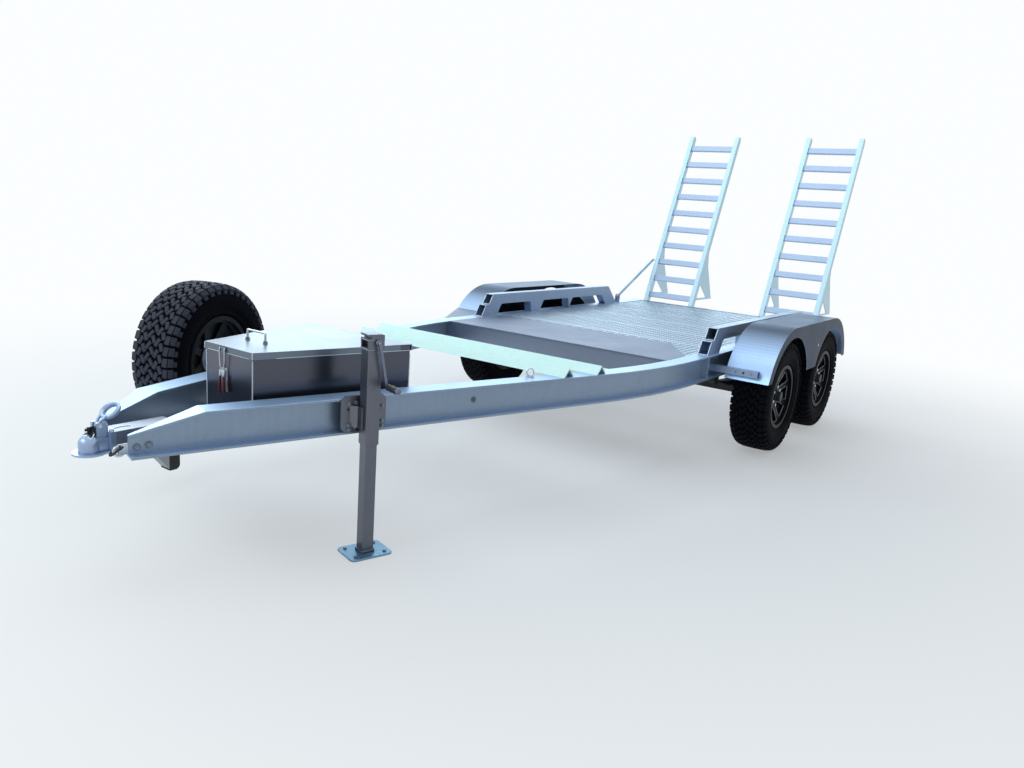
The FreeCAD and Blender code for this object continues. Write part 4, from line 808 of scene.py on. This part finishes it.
# Mudguards: rolled sheet over both wheels with an outer skirt cut away round each, left bright, and
# painted shade and reflection on it: the tops are painted dark and the skirts darker still. One small
# stud stands on each skirt between the wheels.
# Painted shade and reflection: faces that look up are painted dark and the upright skirts darker still, so only
# the rolled ends keep the pale colour.
guard_finish = drawn_metal("bright_sheet", (0.44, 0.62, 0.90), 0.55, 0.34, (1.0, 1.0, 1.0), 60, 0.01, 0.0, 0.15,
                           painted_up_tone=(0.085, 0.11, 0.15), painted_side_tone=(0.050, 0.054, 0.064))
guard_shader = guard_finish.node_tree.nodes["Principled BSDF"]
guard_shader.inputs["Specular Tint"].default_value = (0.42, 0.50, 0.62, 1)
guard_shader.inputs["Specular IOR Level"].default_value = 0.2
stud_x, guard_face_y, stud_z = -1.1479, 1.2495, 0.6657
for side, hand in sides:
    softened(hand + "_mudguard", guard_finish, 0.0012)
    stud = hex_bolt(0.013, 0.004, 0.010, 0.0015)
    fixed(placed(stud, facing((stud_x, side * guard_face_y, stud_z), (0, side, 0), 0.3)), hand + "_guard_stud",
          hand + "_mudguard", zinc_finish)


# Running gear: painted steel springs, hangers, rockers and square axles, dusty and nearly black. The
# spare wheel's carrier is galvanised like the coupling mount.
steel_finish = drawn_metal("black_steel", (0.030, 0.031, 0.035), 0.2, 0.55, (1, 1, 1), 60, 0.25, 0.25, 0.4)
for node in ("leaf_springs", "spring_hangers", "spring_rockers", "axles"):
    softened(node, steel_finish, 0.001)
softened("spare_carrier", mount_finish, 0.001)


# Ramps: ladder ramps of square aluminium tube with rounded stile heads and plate legs behind, pinned
# to lugs on the tail. Stiles and stay are painted paler and more aqua than the rungs between them, a painted
# reflection of the sky ahead, and faces that look up are painted paler as painted light.
# Painted light: the ramps' faces that look up are painted paler.
ramp_finish = drawn_metal("ramp_tube", (0.36, 0.47, 0.64), 0.55, 0.32, (1.0, 1.0, 0.05), 240, 0.05, 0.04,
                          painted_up_tone=(0.44, 0.58, 0.73))
# Painted reflection: a mask by place across the ramp paints the stiles pale aqua, for the sky ahead caught on
# them.
ramp_middle, rung_half, stile_highlight_tone = 0.580, 0.2145, (0.46, 0.66, 0.76)
ramp_tree = ramp_finish.node_tree
ramp_place = shader_node(ramp_tree, "TexCoord", {})
on_stile = shader_node(ramp_tree, "SeparateXYZ", {0: ramp_place.outputs["Object"]}).outputs["Y"]
for operation, value in (("ABSOLUTE", 0), ("SUBTRACT", ramp_middle), ("ABSOLUTE", 0),
                         ("GREATER_THAN", rung_half)):
    on_stile = shader_node(ramp_tree, "Math", {0: on_stile, 1: value}, operation=operation).outputs[0]
ramp_base = ramp_tree.nodes["Principled BSDF"].inputs["Base Color"]
ramp_tree.links.new(blend_colours(ramp_tree, on_stile, ramp_base.links[0].from_socket, stile_highlight_tone), ramp_base)
for node in ("left_ramp", "right_ramp", "left_ramp_legs", "right_ramp_legs", "ramp_stay"):
    softened(node, ramp_finish, 0.002)
for node in ("ramp_hinges", "stay_lug"):
    softened(node, frame_finish, 0.001)


# Tyres: all-terrain casing with staggered rows of tread blocks, the outer rows stepped down over the
# shoulder, a rim guard above the bead, and fine ribs moulded in the wall.
tyre_radius, tyre_pitches, casing_facets = 0.368, 44, 96
tyre_wall = [(0.0952, 0.1955), (0.0958, 0.2125), (0.1010, 0.2180), (0.1085, 0.2230), (0.1100, 0.2290),
             (0.1075, 0.2350), (0.1110, 0.2460), (0.1145, 0.2600), (0.1150, 0.2620), (0.1160, 0.2620),
             (0.1168, 0.2760), (0.1170, 0.2900), (0.1150, 0.3050), (0.1125, 0.3160), (0.1120, 0.3180),
             (0.1090, 0.3300), (0.1020, 0.3430), (0.0900, 0.3520), (0.0700, 0.3570), (0.0350, 0.3585)]
tyre_inside = [(-0.0810, 0.1955), (-0.0830, 0.2200), (-0.1000, 0.2800), (-0.0920, 0.3300), (-0.0600, 0.3430)]


def turned_piece(name, stations, around):
    """A ring pulled out from station to station, each a place along Y and a radius, and closed up."""
    y, radius = stations[0]
    piece = primitive(bpy.ops.mesh.primitive_circle_add, vertices=around, radius=radius, location=(0, y, 0),
                      rotation=(math.pi / 2, 0, 0))
    piece.name = name
    bpy.ops.object.transform_apply()
    edit_all(piece)
    for next_y, next_radius in stations[1:] + stations[:1]:
        bpy.ops.mesh.extrude_region_move(TRANSFORM_OT_translate={"value": (0, next_y - y, 0)})
        share = next_radius / radius
        bpy.ops.transform.resize(value=(share, 1, share), center_override=(0, next_y, 0))
        y, radius = next_y, next_radius
    bpy.ops.mesh.select_all(action="SELECT")
    bpy.ops.mesh.remove_doubles(threshold=same_point)
    bpy.ops.mesh.normals_make_consistent(inside=False)
    edit_done()
    return piece


def spun_copies(piece, count):
    """Repeats all of the piece round the Y axis, count times in a full turn."""
    edit_all(piece)
    share = math.tau * (count - 1) / count
    bpy.ops.mesh.spin(steps=count - 1, dupli=True, angle=share, center=(0, 0, 0), axis=(0, 1, 0))
    edit_done()


def tread_block(y, angle, width, length, skew, radius, lean, depth):
    """One moulded block: a cube set on the casing, drawn in at its top, its top edges broken."""
    block = primitive(bpy.ops.mesh.primitive_cube_add, size=1)
    block.scale = (length, width, depth)
    bpy.ops.object.transform_apply()
    edit_all(block)
    pick(block, lambda co: co.z > 0)
    bpy.ops.transform.resize(value=(0.90, 0.92, 1), center_override=(0, 0, depth / 2))
    bpy.ops.mesh.bevel(offset=0.0022, segments=1)
    edit_done()
    return placed(block, Matrix.Rotation(angle, 4, "Y") @ Matrix.Translation((0, y, radius - depth / 2))
                  @ Matrix.Rotation(lean, 4, "X") @ Matrix.Rotation(skew, 4, "Z"))


# Each row of blocks: its place across the tread, where in the pitch and how far on to each side it
# stands, its width and length, its skew, how far under the top it sits, its lean and its depth.
tread_rows = ((0.0115, 0.25, 0.22, 0.020, 0.041, 0.55, 0.0, 0.0, 0.014),
              (0.0350, 0.50, 0.20, 0.022, 0.043, -0.50, 0.0005, 0.0, 0.014),
              (0.0590, 0.88, 0.20, 0.022, 0.041, 0.42, 0.0015, 0.0, 0.014),
              (0.0840, 0.30, 0.10, 0.026, 0.043, -0.12, 0.0050, -0.20, 0.014),
              (0.1045, 0.30, 0.10, 0.024, 0.040, -0.05, 0.0155, -0.80, 0.014),
              (0.1130, 0.42, 0.10, 0.022, 0.026, 0.0, 0.0350, -1.22, 0.008))


def dust_and_shade_rubber(name, clean, dusty, groove_shade, gloss):
    """Tyre rubber: dust in clouds on what the road reaches, and painted shade darkening it to near black down in
    the grooves.
    """
    finish, tree, shader = new_finish(name, {"Specular IOR Level": gloss})
    point = shader_node(tree, "TexCoord", {}).outputs["Object"]
    dust = shader_node(tree, "TexNoise", {"Vector": point, "Scale": 14, "Detail": 6}).outputs["Fac"]
    pores = shader_node(tree, "TexNoise", {"Vector": point, "Scale": 420}).outputs["Fac"]
    # Painted shade: an ambient occlusion mask darkens the grooves.
    groove_shade_mask = shader_node(tree, "Group", {"Reach": 0.010}, node_tree=grime_and_shade_group)
    worn = blend_colours(tree, dust, clean, dusty)
    tree.links.new(blend_colours(tree, groove_shade_mask.outputs["Mask"], worn, groove_shade), shader.inputs["Base Color"])
    tree.links.new(blend_numbers(tree, dust, 0.55, 0.80), shader.inputs["Roughness"])
    fine_relief(tree, shader, pores, 0.2, 0.0004)
    return finish


# Painted shade: the near black that the grooves are darkened to.
black = (0.0015, 0.0015, 0.0022)
wall_finish = dust_and_shade_rubber("tyre_wall_rubber", (0.002, 0.0023, 0.0035), (0.0040, 0.0048, 0.0085), black, 0.03)
# Painted light and shade: the road tyres' tread is a dark copy of the rubber, for the shade under the mudguards,
# and the spare's a light copy, for the light on it.
shaded_tread_finish = dust_and_shade_rubber("shaded_tyre_tread_rubber", (0.003, 0.003, 0.004), (0.009, 0.009, 0.013), black, 0.05)
lit_spare_tread_finish = dust_and_shade_rubber("lit_spare_tread_rubber", (0.040, 0.042, 0.056), (0.095, 0.098, 0.130), black, 0.08)

pitch = math.tau / tyre_pitches
tread = joined_pieces([
    tread_block(side * y, pitch * (middle + side * shift), width, length, side * skew, tyre_radius - drop,
                side * lean, depth)
    for side in (-1, 1) for y, middle, shift, width, length, skew, drop, lean, depth in tread_rows])
spun_copies(tread, tyre_pitches)
tread.data.materials.append(shaded_tread_finish)
casing = turned_piece("casing", tyre_wall + [(-y, r) for y, r in tyre_wall[::-1]]
                      + tyre_inside + [(-y, r) for y, r in tyre_inside[::-1]], casing_facets)
casing.data.materials.append(wall_finish)
master_tyre = joined_pieces([casing, tread])
bpy.ops.object.shade_smooth_by_angle(angle=math.radians(28))

wheel_mid_y, spare_place = 1.1125, (2.3134, -0.784, 0.616)
wheel_spots = {}
for axle_name, axle_x in (("front", -0.5906), ("rear", -1.5306)):
    wheel_spots[axle_name + "_left"] = Matrix.Translation((axle_x, wheel_mid_y, tyre_radius))
    wheel_spots[axle_name + "_right"] = (Matrix.Translation((axle_x, -wheel_mid_y, tyre_radius))
                                         @ Matrix.Rotation(math.pi, 4, "Z"))
wheel_spots["spare"] = Matrix.Translation(spare_place) @ Matrix.Rotation(drawbar_turn, 4, "Z")


def at_each_wheel(master, suffix, node_suffix, stands_in=False, finish=None, spots=tuple(wheel_spots)):
    """A copy of the master at each wheel, with its own mesh, and the master put away."""
    for spot in spots:
        copy = placed(in_scene(spot + suffix, master.data.copy()), wheel_spots[spot])
        carried(copy, spot + node_suffix, stands_in, finish)
    bpy.data.objects.remove(master)


at_each_wheel(master_tyre, "_tyre_tread", "_tyre", True)
# The spare's tread takes the lighter copy: painted light.
bpy.data.objects["spare_tyre_tread"].data.materials[1] = lit_spare_tread_finish


# Wheels: eight-spoke alloy wheels in black paint with lug nuts, the window edges turned bright. The
# spare shows a plain dark dish behind its spokes.
wheel_finish = drawn_metal("wheel_paint", (0.006, 0.006, 0.008), 0.0, 0.42, (1, 1, 1), 60, 0.1, 0.05, 0.2)
wheel_finish.node_tree.nodes["Principled BSDF"].inputs["Specular IOR Level"].default_value = 0.16
for spot in wheel_spots:
    softened(spot + "_rim", wheel_finish, 0.0015)
    if spot != "spare":
        softened(spot + "_hub", steel_finish, 0.001)

milled_finish = drawn_metal("milled_edge", (0.40, 0.44, 0.50), 0.9, 0.22, (1, 1, 1), 300, 0.06, 0.06, 0.2)
road_wheels = [spot for spot in wheel_spots if spot != "spare"]
spoke_count, spoke_root, spoke_rise, disc_face = 8, 0.088, 0.267, 0.052


def on_disc(x, z):
    """A point on the disc's outer face, which stands out towards the rim."""
    return (x, disc_face + spoke_rise * max(0.0, math.hypot(x, z) - spoke_root), z)


def round_the_hub(count):
    return [Matrix.Rotation(step * math.tau / count, 4, "Y") for step in range(count)]


window_half = [(0.014, 0.0845), (0.019, 0.089), (0.0475, 0.163), (0.047, 0.171), (0.040, 0.1745)]
window_outline = window_half + [(-x, z) for x, z in window_half[::-1]]
window_edge = bent_rod([on_disc(x, z) for x, z in window_outline], 0.0013, closed=True, rounds=2)
at_each_wheel(copies_at(window_edge, round_the_hub(spoke_count)), "_window_edges", "_rim", finish=milled_finish,
              spots=road_wheels)
nut_count, nut_circle = 6, 0.0600
nuts = [turn @ facing((0, disc_face, nut_circle), (0, 1, 0)) for turn in round_the_hub(nut_count)]
at_each_wheel(copies_at(hex_bolt(0.019, 0.016, 0.0125, 0.003), nuts), "_lug_nuts", "_rim", finish=zinc_finish,
              spots=road_wheels)
dish_profile = [(0.036, 0.030), (0.040, 0.086), (0.050, 0.150), (0.060, 0.184), (0.055, 0.184), (0.045, 0.150),
                (0.036, 0.086), (0.033, 0.030)]
at_each_wheel(turned_piece("dish", dish_profile, 64), "_rim_dish", "_rim", finish=wheel_finish, spots=["spare"])
